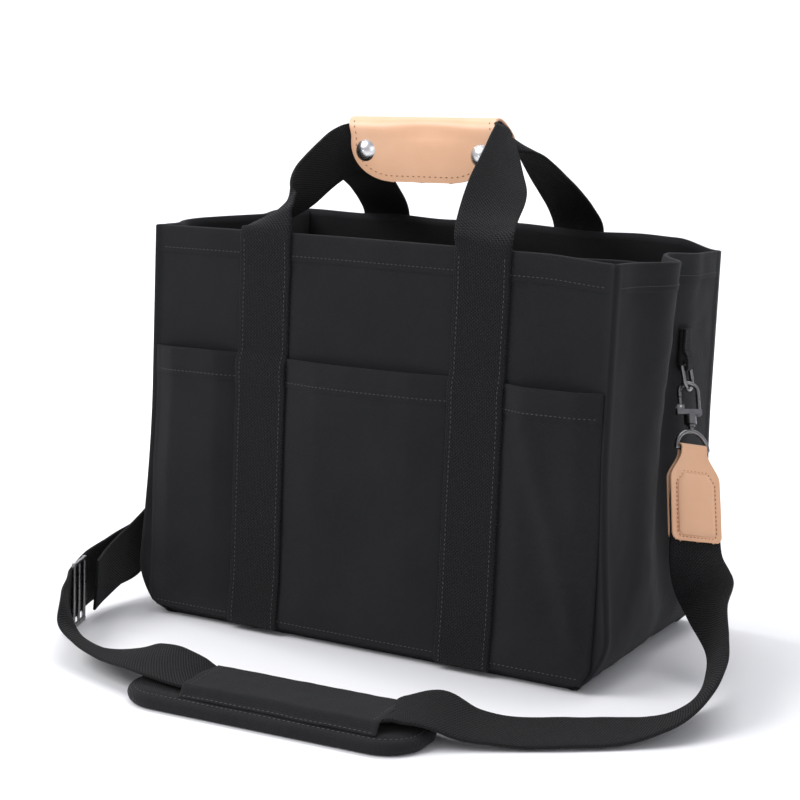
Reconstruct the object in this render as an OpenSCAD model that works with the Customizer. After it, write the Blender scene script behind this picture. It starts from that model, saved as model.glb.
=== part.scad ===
// Garden tool bag: a soft canvas tote with sewn pockets, webbing carry handles in a leather grip,
// and a shoulder strap that clips to a D-ring on each end wall.
// X runs along the long side, +Y to the back, +Z up; the origin is the centre of the base.

/* [Bag] */
// Width of the bag between its end walls at the rim
body_w = 340; // [320:5:360]
// Depth of the bag, front panel to back panel, without pockets
body_d = 205; // [195:5:225]
// Height of the canvas walls
body_h = 276; // [260:2:290]
// Thickness of the lined canvas
canvas_t = 2.5; // [2:0.5:3]
// How far the end walls belly out near the base
belly = 8; // [0:1:12]
// How far the front half of each end wall flares out at the rim
flare = 18; // [0:1:20]

/* [Pockets] */
// Height of the pocket mouths above the ground
pocket_top = 192; // [170:2:200]
// How far the pocket cells stand away from the wall
pocket_gap = 5.5; // [5:0.5:8]
// Thickness of the pocket cloth
pocket_t = 2; // [1.5:0.5:2.5]

/* [Webbing] */
// Width of all the webbing
web_w = 38; // [36:1:40]
// Thickness of the webbing
web_t = 2.4; // [2:0.2:2.8]
// Distance of the front handle straps from the middle
strap_x = 80.5; // [76:0.5:84]
// Sideways shift of the back handle straps
back_shift = -20; // [-22:1:0]

/* [Grip] */
// Length of the leather grip
grip_l = 111; // [105:2:125]
// Height of the top of the grip above the ground
grip_top = 358; // [356:1:360]
// Thickness of the leather
leather_t = 2; // [1.6:0.2:2.2]
// Diameter of the snap caps
cap_d = 15; // [12:1:16]

/* [Hardware] */
// Wire diameter of the D-rings, hooks and loops
wire_d = 3; // [2.6:0.2:3]
// Height of the D-ring bars above the ground
ring_z = 197; // [194:1:200]

/* [Shoulder pad] */
// Length of the shoulder pad
pad_l = 198; // [190:2:204]
// Width of the shoulder pad
pad_w = 62; // [58:1:66]
// Length of the sleeve that holds the strap on the pad
sleeve_l = 130; // [120:2:132]

/* [Hidden] */
$fn = 48;

half_w = body_w / 2;
half_d = body_d / 2;
wire_r = wire_d / 2;
canvas = "#27282c";
webbing = "#303136";
veg_tan = "#e3b592";
dark_metal = "#55565a";
bright_metal = "#b9babd";

// Height of the widest line of the belly, and how far the wall tucks in under it
belly_z = 38;
tuck = 20;
// Places along Y of the flared ridge and of the valley behind it, and the valley's depth
ridge_y = -40;
valley_y = 18;
valley = 9;
// Half length of the base panel
base_x = half_w + belly - tuck - canvas_t;

// Outer half width of the bag at height z
function side_x(z) = z < belly_z
    ? half_w + belly - tuck * pow((belly_z - z) / belly_z, 2)
    : half_w + belly * (1 - sin(90 * min(1, (z - belly_z) / 130)));
// Outer face of an end wall: the side profile with its fold growing towards the rim
function gusset_x(y, z) = side_x(z) + z / body_h * flare * exp(-pow((y - ridge_y) / 28, 2))
    - valley * min(1, z / 90) * exp(-pow((y - valley_y) / 21, 2));

// Smooth curve through a list of points of any size, n steps to a span
function blend4(a, b, c, d, t) = 0.5 * (2 * b + (c - a) * t + (2 * a - 5 * b + 4 * c - d) * t * t
    + (3 * b - a - 3 * c + d) * t * t * t);
function smooth(p, n) = let (m = len(p) - 1) concat(
    [for (i = [0 : m - 1]) for (k = [0 : n - 1])
        blend4(p[max(i - 1, 0)], p[i], p[i + 1], p[min(i + 2, m)], k / n)],
    [p[m]]);
function unit(v) = v / norm(v);
function part(v, a, b) = [for (i = [a : b]) v[i]];

// A band of thickness t, centred on a 2D path
function path_dir(p, i) = unit(p[min(i + 1, len(p) - 1)] - p[max(i - 1, 0)]);
function side_of(p, i, s) = p[i] + s * [-path_dir(p, i)[1], path_dir(p, i)[0]];
module band(p, t) {
    m = len(p) - 1;
    polygon(concat([for (i = [0 : m]) side_of(p, i, t / 2)],
        [for (i = [m : -1 : 0]) side_of(p, i, -t / 2)]));
}

// Flat webbing swept along a route. Each row is x, y, z and the direction across the webbing.
module ribbon(route, w, t, n) {
    q = smooth(route, n);
    m = len(q) - 1;
    c = 0.35 * t;
    outline = [[w / 2, c - t / 2], [w / 2, t / 2 - c], [w / 2 - c, t / 2], [c - w / 2, t / 2],
        [-w / 2, t / 2 - c], [-w / 2, c - t / 2], [c - w / 2, -t / 2], [w / 2 - c, -t / 2]];
    k = len(outline);
    rings = [for (i = [0 : m])
        let (along = unit(part(q[min(i + 1, m)], 0, 2) - part(q[max(i - 1, 0)], 0, 2)),
            aim = part(q[i], 3, 5),
            across = unit(aim - (aim * along) * along),
            up = cross(along, across))
        for (o = outline) part(q[i], 0, 2) + o[0] * across + o[1] * up];
    // Each face of a twisted length is split along the same diagonal as the face behind it
    sides = [for (i = [0 : m - 1]) for (j = [0 : k - 1]) for (half = [0, 1])
        let (a = i * k + j, b = i * k + (j + 1) % k, c = b + k, d = a + k)
        j < k / 2 ? (half == 0 ? [a, b, c] : [a, c, d]) : (half == 0 ? [a, b, d] : [b, c, d])];
    polyhedron(rings, concat([[for (j = [k - 1 : -1 : 0]) j]], [[for (j = [0 : k - 1]) m * k + j]], sides));
}

// Canvas walls ---------------------------------------------------------------------------

wall_steps = 14;
wall_edge = [for (i = [0 : wall_steps]) let (z = body_h * pow(i / wall_steps, 1.6)) [side_x(z), z]];

module wall_panel() {
    rotate([90, 0, 0])
        linear_extrude(canvas_t)
            polygon(concat(wall_edge, [for (i = [wall_steps : -1 : 0]) [-wall_edge[i][0], wall_edge[i][1]]]));
}

module front_panel() color(canvas) translate([0, canvas_t - half_d, 0]) wall_panel();

module back_panel() color(canvas) translate([0, half_d, 0]) wall_panel();

// An end wall as a thin sheet: a grid of points on its outer face and the same grid moved inwards
gusset_ny = 18;
gusset_nz = 9;
module gusset() {
    reach = half_d - canvas_t;
    function grid(shift) = [for (i = [0 : gusset_nz]) for (j = [0 : gusset_ny])
        let (z = body_h * pow(i / gusset_nz, 1.4), y = reach * (2 * j / gusset_ny - 1))
        [gusset_x(y, z) - shift, y, z]];
    row = gusset_ny + 1;
    count = row * (gusset_nz + 1);
    cells = [for (i = [0 : gusset_nz - 1]) for (j = [0 : gusset_ny - 1]) i * row + j];
    outer = [for (c = cells) [c, c + row, c + row + 1, c + 1]];
    inner = [for (c = cells) [count + c, count + c + 1, count + c + row + 1, count + c + row]];
    ends = [for (i = [0 : gusset_nz - 1]) for (s = [0, 1])
        let (a = i * row + s * gusset_ny, b = a + row)
        s == 0 ? [a, count + a, count + b, b] : [a, b, count + b, count + a]];
    rims = [for (j = [0 : gusset_ny - 1]) for (s = [0, 1])
        let (a = s * gusset_nz * row + j, b = a + 1)
        s == 0 ? [a, b, count + b, count + a] : [a, count + a, count + b, b]];
    polyhedron(concat(grid(0), grid(canvas_t)), concat(outer, inner, ends, rims));
}

module right_gusset() color(canvas) gusset();

module left_gusset() color(canvas) mirror([1, 0, 0]) gusset();

module base_panel() color(canvas)
    translate([-base_x, canvas_t - half_d, 0]) cube([2 * base_x, body_d - 2 * canvas_t, canvas_t]);

board_t = 2.5;
module base_board() color("#8a7a60")
    translate([-base_x + 6, 10 - half_d, canvas_t]) cube([2 * base_x - 12, body_d - 20, board_t]);

divider_y = -46;
divider_top = 272;
divider_half = half_w - canvas_t - 4;
divider_low = canvas_t + board_t;
module divider_panel() color(canvas)
    translate([0, divider_y + canvas_t, 0]) rotate([90, 0, 0]) linear_extrude(canvas_t)
        polygon([[-base_x + 8, divider_low], [base_x - 8, divider_low], [divider_half, 34],
            [divider_half, divider_top], [-divider_half, divider_top], [-divider_half, 34]]);

// Pockets: one cloth sewn down under the straps, bulging into three cells between them
pocket_half = half_w - 4;
pocket_z = 14;
pocket_sew = web_w / 2 + 1;
function cell(x, a, b) = x <= a || x >= b ? 0 : min(1, 1.6 * sin(180 * (x - a) / (b - a)));
function pocket_lift(x, shift) = pocket_gap * (
    cell(x, shift - strap_x + pocket_sew, shift + strap_x - pocket_sew)
    + cell(x, 2 - pocket_half, shift - strap_x - pocket_sew)
    + cell(x, shift + strap_x + pocket_sew, pocket_half - 2));
// Stations across the cloth: each cell has its own, so that it starts to bulge at its seam
cell_steps = 14;
function stations(a, b) = [for (i = [0 : cell_steps]) a + (b - a) * i / cell_steps];
module pocket(shift) {
    left = shift - strap_x;
    right = shift + strap_x;
    xs = concat([-pocket_half], stations(2 - pocket_half, left - pocket_sew),
        stations(left + pocket_sew, right - pocket_sew), stations(right + pocket_sew, pocket_half - 2),
        [pocket_half]);
    n = len(xs) - 1;
    outer = [for (x = xs) [x, -half_d - pocket_t - pocket_lift(x, shift)]];
    inner = [for (i = [n : -1 : 0]) [xs[i], -half_d - pocket_lift(xs[i], shift)]];
    translate([0, 0, pocket_z]) {
        linear_extrude(pocket_top - pocket_z) polygon(concat(outer, inner));
        linear_extrude(pocket_t) polygon(concat(outer, [[pocket_half, -half_d], [-pocket_half, -half_d]]));
    }
}

module front_pocket() color(canvas) pocket(0);

module back_pocket() color(canvas) mirror([0, 1, 0]) pocket(back_shift);

// Sewn webbing: up the pocket, over its mouth, then up the wall to the rim
strap_z = 6;
module sewn_strap() {
    low = half_d + pocket_t + web_t / 2;
    high = half_d + web_t / 2;
    side = [[-low, strap_z], [-low, pocket_top + 3], [-high, pocket_top + 7], [-high, body_h]];
    translate([-web_w / 2, 0, 0]) rotate([90, 0, 90]) linear_extrude(web_w) band(side, web_t);
}

module strap_front_left() color(webbing) translate([-strap_x, 0, 0]) sewn_strap();

module strap_front_right() color(webbing) translate([strap_x, 0, 0]) sewn_strap();

module strap_back_left() color(webbing)
    translate([back_shift - strap_x, 0, 0]) mirror([0, 1, 0]) sewn_strap();

module strap_back_right() color(webbing)
    translate([back_shift + strap_x, 0, 0]) mirror([0, 1, 0]) sewn_strap();

// Handle ---------------------------------------------------------------------------------

grip_x = -1;
grip_y = -20;
grip_r = 15;
grip_z = grip_top - grip_r;
grip_left = grip_x - grip_l / 2;
grip_right = grip_x + grip_l / 2;
rim_y = half_d + web_t / 2;

// Free webbing between the rim and the grip, each row x, y, z and the direction across
leg_front_right_route = [[strap_x, -rim_y, body_h + 0.9, 1, 0, 0],
    [strap_x, -rim_y, body_h + 7, 1, 0, 0], [80, -99, 297, 1, 0.05, 0],
    [77, -82, 317, 0.9, 0.4, 0], [71, -60, 333, 0.7, 0.7, 0], [65, -42, 342, 0.5, 0.85, 0]];
leg_front_left_route = [[-strap_x, -rim_y, body_h + 0.9, 1, 0, 0],
    [-strap_x, -rim_y, body_h + 7, 1, 0, 0], [-79, -99, 290, 0.85, -0.5, 0.1],
    [-76.5, -87, 301, 0.4, -0.85, 0.4], [-75, -66, 315, 0, -0.5, 0.85], [-71, -46, 325, 0, -0.3, 0.95],
    [-67, -33, 331, 0, -0.2, 1]];
leg_back_right_route = [[back_shift + strap_x, rim_y, body_h + 0.9, 1, 0, 0],
    [back_shift + strap_x, rim_y, body_h + 7, 1, 0, 0], [59, 95, 298, 1, -0.1, 0],
    [58, 68, 318, 0.95, -0.3, 0], [59, 38, 335, 0.8, -0.6, 0.1], [62, 12, 343, 0.6, -0.8, 0.1]];
leg_back_left_route = [[back_shift - strap_x, rim_y, body_h + 0.9, 1, 0, 0],
    [back_shift - strap_x, rim_y, body_h + 7, 1, 0, 0], [-98, 95, 298, 1, 0.1, 0],
    [-93, 68, 314, 0.95, 0.2, 0], [-85, 38, 329, 0.9, 0.45, 0.1], [-76, 13, 338, 0.8, 0.6, 0.1]];
leg_steps = 3;

module leg_front_right() color(webbing) ribbon(leg_front_right_route, web_w * 0.8, web_t, leg_steps);

module leg_front_left() color(webbing) ribbon(leg_front_left_route, web_w * 0.8, web_t, leg_steps);

module leg_back_right() color(webbing) ribbon(leg_back_right_route, web_w * 0.8, web_t, leg_steps);

module leg_back_left() color(webbing) ribbon(leg_back_left_route, web_w * 0.8, web_t, leg_steps);

// Cross-section of the grip, in Y and Z about the middle of its arch
function arc(r, a, b, n) = [for (i = [0 : n]) let (t = a + (b - a) * i / n) [r * cos(t), r * sin(t)]];
module along_grip(inset) {
    translate([grip_left + inset, grip_y, grip_z]) rotate([90, 0, 90]) linear_extrude(grip_l - 2 * inset)
        children();
}
fit_gap = 0.3;
outer_web_r = grip_r - leather_t - fit_gap - web_t / 2;
inner_web_r = outer_web_r - web_t - fit_gap;

module grip_webbing_outer() color(webbing) along_grip(0.5) band(arc(outer_web_r, 0, 180, 20), web_t);

module grip_webbing_inner() color(webbing) along_grip(0.5) band(arc(inner_web_r, -10, 190, 20), web_t);

// Leather: one piece wraps the webbing from its front layer under and up the back to the crown,
// and the flap hangs from the crown over that front layer
leather_r = grip_r - leather_t / 2;
hem_z = 313.5 - grip_z;
hinge_a = 115;
socket_t = 1.6;
stud_base = 0.7;
stud_gap = 0.3;
layer_y = leather_r - leather_t - socket_t - stud_base - stud_gap;
module grip_leather() color(veg_tan) along_grip(0)
    band(concat(arc(leather_r, hinge_a - 2, -10, 16), [[13.4, -9], [11.2, -15], [6.5, -19], [0, -20],
        [-layer_y + 3.5, -19], [-layer_y + 0.8, -17], [-layer_y, -14.5], [-layer_y, -2.4]]), leather_t);

flap_corner = 24;
module flap_outline() {
    reach = grip_l / 2 - flap_corner;
    polygon(concat([[grip_l / 2, 30], [-grip_l / 2, 30]],
        [for (a = [180 : 7.5 : 270]) [flap_corner * cos(a) - reach, hem_z + flap_corner * (1 + sin(a))]],
        [for (a = [270 : 7.5 : 360]) [flap_corner * cos(a) + reach, hem_z + flap_corner * (1 + sin(a))]]));
}
module grip_flap() color(veg_tan) intersection() {
    along_grip(0) band(concat(arc(leather_r, hinge_a + 2, 180, 12), [[-leather_r, hem_z]]), leather_t);
    translate([grip_x, 0, grip_z]) rotate([90, 0, 0]) linear_extrude(60) flap_outline();
}

// Snaps: caps and sockets on the flap, studs and rivets on the layer behind it
snap_x = 44;
snap_z = 333.5;
stud_r = 1.8;
stud_clear = 0.6;
flap_front = grip_y - leather_r - leather_t / 2;
flap_back = flap_front + leather_t;
layer_front = grip_y - layer_y - leather_t / 2;
module at_snaps(y) {
    for (s = [-1, 1]) translate([grip_x + s * snap_x, y, snap_z]) rotate([90, 0, 0]) children();
}

cap_h = 3;
module snap_caps() color(bright_metal) at_snaps(flap_front) {
    dome_r = (pow(cap_d / 2, 2) + cap_h * cap_h) / (2 * cap_h);
    rotate_extrude() intersection() {
        translate([0, cap_h - dome_r]) circle(dome_r);
        square([cap_d, cap_h]);
    }
}

module snap_sockets() color(dark_metal) at_snaps(flap_back + socket_t) difference() {
    cylinder(h = socket_t, r = 5);
    translate([0, 0, -1]) cylinder(h = socket_t + 2, r = stud_r + stud_clear);
}

module snap_studs() color(dark_metal) at_snaps(layer_front) {
    cylinder(h = stud_base, r = 4.5);
    cylinder(h = stud_base + stud_gap + 1, r = stud_r);
}

module snap_rivets() color(dark_metal) at_snaps(layer_front + leather_t + 1) cylinder(h = 1, r = 5);

// End rings and hooks --------------------------------------------------------------------

ring_y = 38;
ring_x = gusset_x(ring_y, ring_z) + 4.8;
ring_r = 8;
ring_half = 8;
// How far the rings lean out from the wall
lean = 14;

// A D-shaped ring of wire in the YZ plane: a bar on top and a bow hanging from it
module d_ring(r, drop) {
    rotate([90, 0, 0]) translate([0, 0, -r]) cylinder(h = 2 * r, r = wire_r);
    for (s = [-1, 1]) translate([0, s * r, 0]) {
        sphere(wire_r);
        translate([0, 0, -drop]) cylinder(h = drop, r = wire_r);
    }
    translate([0, 0, -drop]) rotate([0, 90, 0]) rotate([0, 0, -90]) rotate_extrude(angle = 180)
        translate([r, 0]) circle(wire_r);
}

module d_ring_right() color(dark_metal)
    translate([ring_x, ring_y, ring_z]) rotate([0, -lean, 0]) d_ring(ring_half, 8);

module d_ring_left() color(dark_metal) mirror([1, 0, 0])
    translate([ring_x, ring_y, ring_z]) rotate([0, -lean, 0]) d_ring(ring_half, 8);

// Folded webbing tab that holds the D-ring's bar against the end wall
tab_t = 1.6;
tab_eye = wire_r + fit_gap + tab_t / 2;
tab_h = 26;
module ring_tab() {
    eye = arc(tab_eye, 180, 360, 14);
    fold = concat([[-tab_eye, tab_h]], eye, [[tab_eye - 0.6, 6], [tab_t - tab_eye + fit_gap, 12],
        [tab_t - tab_eye + fit_gap, tab_h]]);
    translate([ring_x, ring_y + ring_half - 2.5, ring_z]) rotate([90, 0, 0])
        linear_extrude(2 * ring_half - 5) band(fold, tab_t);
}

module ring_tab_right() color(webbing) ring_tab();

module ring_tab_left() color(webbing) mirror([1, 0, 0]) ring_tab();

// Clips: heights are measured down from the ring wire that each one hangs on
ring_inner = ring_r - wire_r;
hook_r = 6.5;
hook_drop = 17;
barrel_h = 7;
barrel_r = 4.2;
barrel_z = -hook_drop - 3.5 - barrel_h;
pin_r = 0.8;
pin_clear = 0.06;
stem_r = 1.6;
stem_clear = 0.06;
loop_r = 12.5;
loop_top = barrel_z - 4.5;

// Each clip hangs on the bow of its ring, pulled to the front and leaning out with the strap
pull_right = 23;
turn_right = [-26.3, 8.6, 51];
pull_left = 25;
out_left = 14;
function clip_drop(pull) = 8 + ring_inner * cos(pull);
function clip_x(pull) = ring_x + clip_drop(pull) * sin(lean);
function clip_y(pull) = ring_y - ring_inner * sin(pull);
function clip_z(pull) = ring_z - clip_drop(pull) * cos(lean);
module on_right() translate([clip_x(pull_right), clip_y(pull_right), clip_z(pull_right)])
    rotate(turn_right) children();
// The right hook stands turned a little on its swivel
hook_turn = -20;
module on_hook() on_right() rotate([0, 0, hook_turn]) children();
module on_left() translate([-clip_x(pull_left), clip_y(pull_left), clip_z(pull_left)])
    rotate([-pull_left, out_left, 0]) children();

// The hook: a bow of wire open on the gate's side, on a round barrel
bow_z = -hook_r + wire_r + 1;
module hook() {
    translate([0, 0, bow_z]) rotate([90, 0, 0]) rotate_extrude(angle = 180) translate([hook_r, 0]) circle(wire_r);
    translate([hook_r, 0, -hook_drop]) cylinder(h = hook_drop + bow_z, r = wire_r);
    translate([-hook_r, 0, bow_z - 3.5]) cylinder(h = 3.5, r = wire_r);
    translate([hook_r, 0, -hook_drop]) sphere(wire_r);
    difference() {
        union() {
            translate([0, 0, barrel_z]) cylinder(h = barrel_h, r = barrel_r);
            translate([-hook_r - 2.5, -2.8, -hook_drop - 3.5]) cube([2 * hook_r + 4, 5.6, 3.6]);
            translate([-hook_r - 2.5, -2.8, -hook_drop]) cube([5, 1.1, 3.2]);
            translate([-hook_r - 2.5, 1.7, -hook_drop]) cube([5, 1.1, 3.2]);
        }
        translate([0, 0, barrel_z - 1]) cylinder(h = barrel_h + 2.5, r = stem_r + stem_clear);
        translate([0, 0, barrel_z + 2.4]) cylinder(h = 4, r = 2.8);
        translate([-hook_r, 5, gate_pin_z]) rotate([90, 0, 0]) cylinder(h = 10, r = pin_r);
    }
}
gate_pin_z = -hook_drop + 1.9;

module hook_right() color(dark_metal) on_hook() hook();

module hook_left() color(dark_metal) on_left() mirror([1, 0, 0]) hook();

// The gate turns inwards on its pin; its nose rests inside the end of the bow
module gate() {
    difference() {
        union() {
            translate([-hook_r, 0, gate_pin_z]) cylinder(h = bow_z - 3.9 - gate_pin_z, r = 1.3);
            translate([-hook_r, 1.4, gate_pin_z]) rotate([90, 0, 0]) cylinder(h = 2.8, r = 1.6);
        }
        translate([-hook_r, 5, gate_pin_z]) rotate([90, 0, 0]) cylinder(h = 10, r = pin_r + pin_clear);
    }
}

module gate_right() color(dark_metal) on_hook() gate();

module gate_left() color(dark_metal) on_left() mirror([1, 0, 0]) gate();

module gate_pin() {
    translate([-hook_r, 2.8, gate_pin_z]) rotate([90, 0, 0]) cylinder(h = 5.6, r = pin_r);
}

module gate_pin_right() color(bright_metal) on_hook() gate_pin();

module gate_pin_left() color(bright_metal) on_left() mirror([1, 0, 0]) gate_pin();

// The swivel stem turns in the barrel and stands on the strap's loop
module swivel() {
    translate([0, 0, loop_top + wire_r - 1]) cylinder(h = barrel_z + 3 - loop_top - wire_r + 1, r = stem_r);
    translate([0, 0, barrel_z + 2.6]) cylinder(h = 1.6, r = 2.5);
    translate([0, 0, barrel_z - 1.7]) cylinder(h = 1.4, r = 3);
}

module swivel_right() color(dark_metal) on_right() swivel();

module swivel_left() color(dark_metal) on_left() swivel();

// The strap's loop: an arch of wire over a straight bar, across the clip
module strap_loop() {
    translate([0, 0, loop_top - loop_r]) rotate([90, 0, 0]) rotate_extrude(angle = 180)
        translate([loop_r, 0]) circle(wire_r);
    translate([-loop_r, 0, loop_top - loop_r]) rotate([0, 90, 0]) cylinder(h = 2 * loop_r, r = wire_r);
    for (s = [-1, 1]) translate([s * loop_r, 0, loop_top - loop_r]) sphere(wire_r);
}

module strap_loop_right() color(dark_metal) on_right() strap_loop();

// The left loop is a flat one, wide enough for the webbing to pass through
wide_half = web_w / 2 + 2.5;
wide_h = 9;
module strap_loop_left() color(dark_metal) on_left() {
    for (z = [loop_top, loop_top - wide_h]) translate([0, -wide_half, z]) rotate([-90, 0, 0])
        cylinder(h = 2 * wide_half, r = wire_r);
    for (s = [-1, 1]) {
        translate([0, s * wide_half, loop_top - wide_h]) cylinder(h = wide_h, r = wire_r);
        translate([0, s * wide_half, loop_top]) sphere(wire_r);
        translate([0, s * wide_half, loop_top - wide_h]) sphere(wire_r);
    }
}

// Leather end of the strap: two tongues either side of the webbing, folded over the loop's bar
// The leather hangs from the loop's bar, along the strap's own line
tab_top = wire_r + 0.5;
tab_swing = 3.4;
tab_l = 66;
tab_neck = 9.8;
tab_half = 19.5;
tab_corner = 4;
web_space = web_t / 2 + 0.2;
module tab_outline(neck, half, top, low, corner) {
    polygon(concat([[-neck, top], [-neck, top - 6], [-half, top - 18]],
        [for (a = [180 : 15 : 270]) [corner - half + corner * cos(a), low + corner + corner * sin(a)]],
        [for (a = [270 : 15 : 360]) [half - corner + corner * cos(a), low + corner + corner * sin(a)]],
        [[half, top - 18], [neck, top - 6], [neck, top]]));
}
module on_tab() on_right() translate([0, 0, loop_top - loop_r]) rotate([tab_swing, 0, 0]) children();
module tongue(y, t) {
    on_tab() translate([0, y + t, 0]) rotate([90, 0, 0]) linear_extrude(t) children();
}

tongue_t = 1.6;
tab_fold_t = wire_r - web_space + 0.3;
module tab_front() color(veg_tan) {
    tongue(-web_space - tongue_t - tab_fold_t, tongue_t)
        tab_outline(tab_neck, tab_half, tab_top - 0.3, tab_top - tab_l, tab_corner);
}

module tab_back() color(veg_tan) {
    on_tab() translate([-tab_neck, -web_space - tab_fold_t - tongue_t, tab_top - 0.3])
        cube([2 * tab_neck, 2 * (web_space + tab_fold_t + tongue_t), 1.5]);
    tongue(web_space + tab_fold_t, tongue_t)
        tab_outline(tab_neck, tab_half, tab_top + 1, tab_top - tab_l, tab_corner);
}

module tab_patch() color(veg_tan) {
    tongue(-web_space - 2 * tongue_t - tab_fold_t, tongue_t)
        polygon([[-9, tab_top - 17], [-14, tab_top - 24], [-14, tab_top - 62], [14, tab_top - 62],
            [14, tab_top - 24], [9, tab_top - 17]]);
}

// Shoulder strap -------------------------------------------------------------------------
// Rows are x, y, z of the middle of the webbing and the direction across it, from the leather
// end on the right, down to the ground, round the front and up to the left hook's loop
strap_route = [[187.4, 16.3, 138.5, 0.62, 0.77, -0.15], [192.6, 7.8, 116.7, 0.62, 0.77, -0.15],
    [198, -0.9, 93.9, 0.62, 0.77, -0.15], [202, -7.5, 77, 0.68, 0.68, -0.05], [209.5, -15.5, 64, 0.75, 0.45, 0.3],
    [219, -26, 54, 0.7, 0.1, 0.65], [232, -50, 42, 0.4, -0.35, 0.85], [241, -75, 31, 0.4, -0.3, 0.85],
    [245, -100, 22, 0.55, -0.3, 0.75],
    [241, -125, 14, 0.7, -0.4, 0.5], [229, -149, 8, 0.8, -0.55, 0.2], [209, -170, 5, 0.75, -0.65, -0.05],
    [187, -188, 5, 0.6, -0.8, -0.1], [166, -203, 5, 0.4, -0.9, -0.1], [145, -217, 9, 0.2, -0.95, -0.1],
    [125, -231, 18, 0.05, -0.95, -0.2], [107, -241, 18, 0, -1, -0.1], [92, -246, 15, 0, -1, 0],
    [60, -248, 14.5, 0, -1, 0], [28, -249, 14.5, 0, -1, 0], [0, -250, 14.5, 0, -1, 0],
    [-22, -251, 15, 0, -1, 0], [-38, -251, 18, 0, -1, -0.15], [-56, -249, 20, 0, -1, -0.2],
    [-76, -244, 19, 0, -1, -0.1], [-97, -237, 15, 0, -0.95, 0.1], [-121, -229, 12, 0.1, -0.95, 0.35],
    [-144, -219, 14, 0.25, -0.85, 0.4], [-163, -203, 20, 0.45, -0.7, 0.5], [-176, -182, 23, .1, 0, 1],
    [-186, -157, 24, 0, 0, 1], [-195, -132, 27, 0, .05, 1], [-199, -107, 31, 0, 0.3, 0.95],
    [-199.5, -82, 37, 0, 0.45, 0.85], [-199.5, -58, 48, 0, -0.5, 0.85], [-197.5, -36, 65, 0, -0.65, 0.75],
    [-193.5, -15, 87, -0.05, -0.75, 0.65], [-191.5, 1, 109, 0, -0.8, 0.6], [-190.2, 9, 128, 0.05, -0.87, 0.5],
    [-188.2, 15.4, 143, 0.1, -0.9, 0.41], [-186.9, 17.9, 148.2, 0.1, -0.9, 0.41],
    [-182.7, 19.4, 150.5, 0.1, -0.9, 0.41], [-180.1, 17.9, 146.6, 0.1, -0.9, 0.41],
    [-181.4, 15.4, 141.3, 0.1, -0.9, 0.41]];
strap_steps = 2;
module shoulder_strap() color(webbing) ribbon(strap_route, web_w, web_t, strap_steps);

// The strap's end comes back from the left loop, inside the first layer, to the slider's bar
return_route = [[-181.7, 14.9, 140.2, 0.1, -0.9, 0.41], [-183.8, 9, 128, 0.05, -0.87, 0.5],
    [-185.5, 0.5, 109.5, 0, -0.8, 0.6], [-188, -15.5, 90, -0.05, -0.75, 0.65],
    [-192.5, -37, 69.5, 0, -0.65, 0.75], [-194.5, -60, 53.5, 0, -0.5, 0.85], [-194.5, -84, 42.5, 0, 0.45, 0.85],
    [-193, -108, 35, 0, 0.3, 0.95], [-189, -131, 29, 0.05, 0.1, 1], [-183, -149, 26, 0.1, 0, 1]];
module strap_return() color(webbing) ribbon(return_route, web_w, web_t, strap_steps);

// Slider on the webbing: an upright frame with a bar up its middle
slider_h = 46;
slider_w = 26;
slider_t = 2.8;
slider_at = [-188.1, -161.7, 0.2 + slider_h / 2];
slider_turn = 20.5;
module slider_frame() color(dark_metal) translate(slider_at) rotate([0, 0, slider_turn]) {
    for (s = [-1, 1]) {
        translate([0, s * (slider_w - slider_t) / 2, -slider_h / 2]) cylinder(h = slider_h, d = slider_t);
        translate([0, -slider_w / 2, s * (slider_h - slider_t) / 2]) rotate([-90, 0, 0])
            cylinder(h = slider_w, d = slider_t);
    }
}

module slider_bar() color(dark_metal) translate(slider_at) rotate([0, 0, slider_turn])
    translate([0, 0, slider_t - slider_h / 2]) cylinder(h = slider_h - 2 * slider_t, d = 2.2);

// Shoulder pad and its sleeve
pad_at = [28, -248.5, 0];
pad_turn = 2.5;
pad_t = 10.5;
pad_corner = 24;
module shoulder_pad() color(canvas) translate(pad_at) rotate([0, 0, pad_turn]) linear_extrude(pad_t) union() {
    square([pad_l - 2 * pad_corner, pad_w], center = true);
    square([pad_l, pad_w - 2 * pad_corner], center = true);
    for (x = [-1, 1]) for (y = [-1, 1])
        translate([x * (pad_l / 2 - pad_corner), y * (pad_w / 2 - pad_corner)]) circle(pad_corner);
}

sleeve_half = 25;
sleeve_rise = 7.3;
sleeve_gap = 0.5;
module pad_sleeve() color(canvas) translate(pad_at) rotate([0, 0, pad_turn])
    translate([-sleeve_l / 2 + 11, 0, pad_t + sleeve_gap]) rotate([90, 0, 90]) linear_extrude(sleeve_l)
        band([[-sleeve_half, 0], [-sleeve_half + 1.5, sleeve_rise - 2], [-sleeve_half + 4, sleeve_rise],
            [sleeve_half - 4, sleeve_rise], [sleeve_half - 1.5, sleeve_rise - 2], [sleeve_half, 0]], 1.6);

front_panel();
back_panel();
left_gusset();
right_gusset();
base_panel();
base_board();
divider_panel();
front_pocket();
back_pocket();
strap_front_left();
strap_front_right();
strap_back_left();
strap_back_right();
leg_front_left();
leg_front_right();
leg_back_left();
leg_back_right();
grip_webbing_outer();
grip_webbing_inner();
grip_leather();
grip_flap();
snap_caps();
snap_sockets();
snap_studs();
snap_rivets();
ring_tab_left();
ring_tab_right();
d_ring_left();
d_ring_right();
hook_left();
hook_right();
gate_left();
gate_right();
gate_pin_left();
gate_pin_right();
swivel_left();
swivel_right();
strap_loop_left();
strap_loop_right();
tab_front();
tab_back();
tab_patch();
shoulder_strap();
strap_return();
slider_frame();
slider_bar();
shoulder_pad();
pad_sleeve();
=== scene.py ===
import math
from math import cos, exp, pi, radians, sin, sqrt

import bpy
from mathutils import Matrix, Vector, noise


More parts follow.
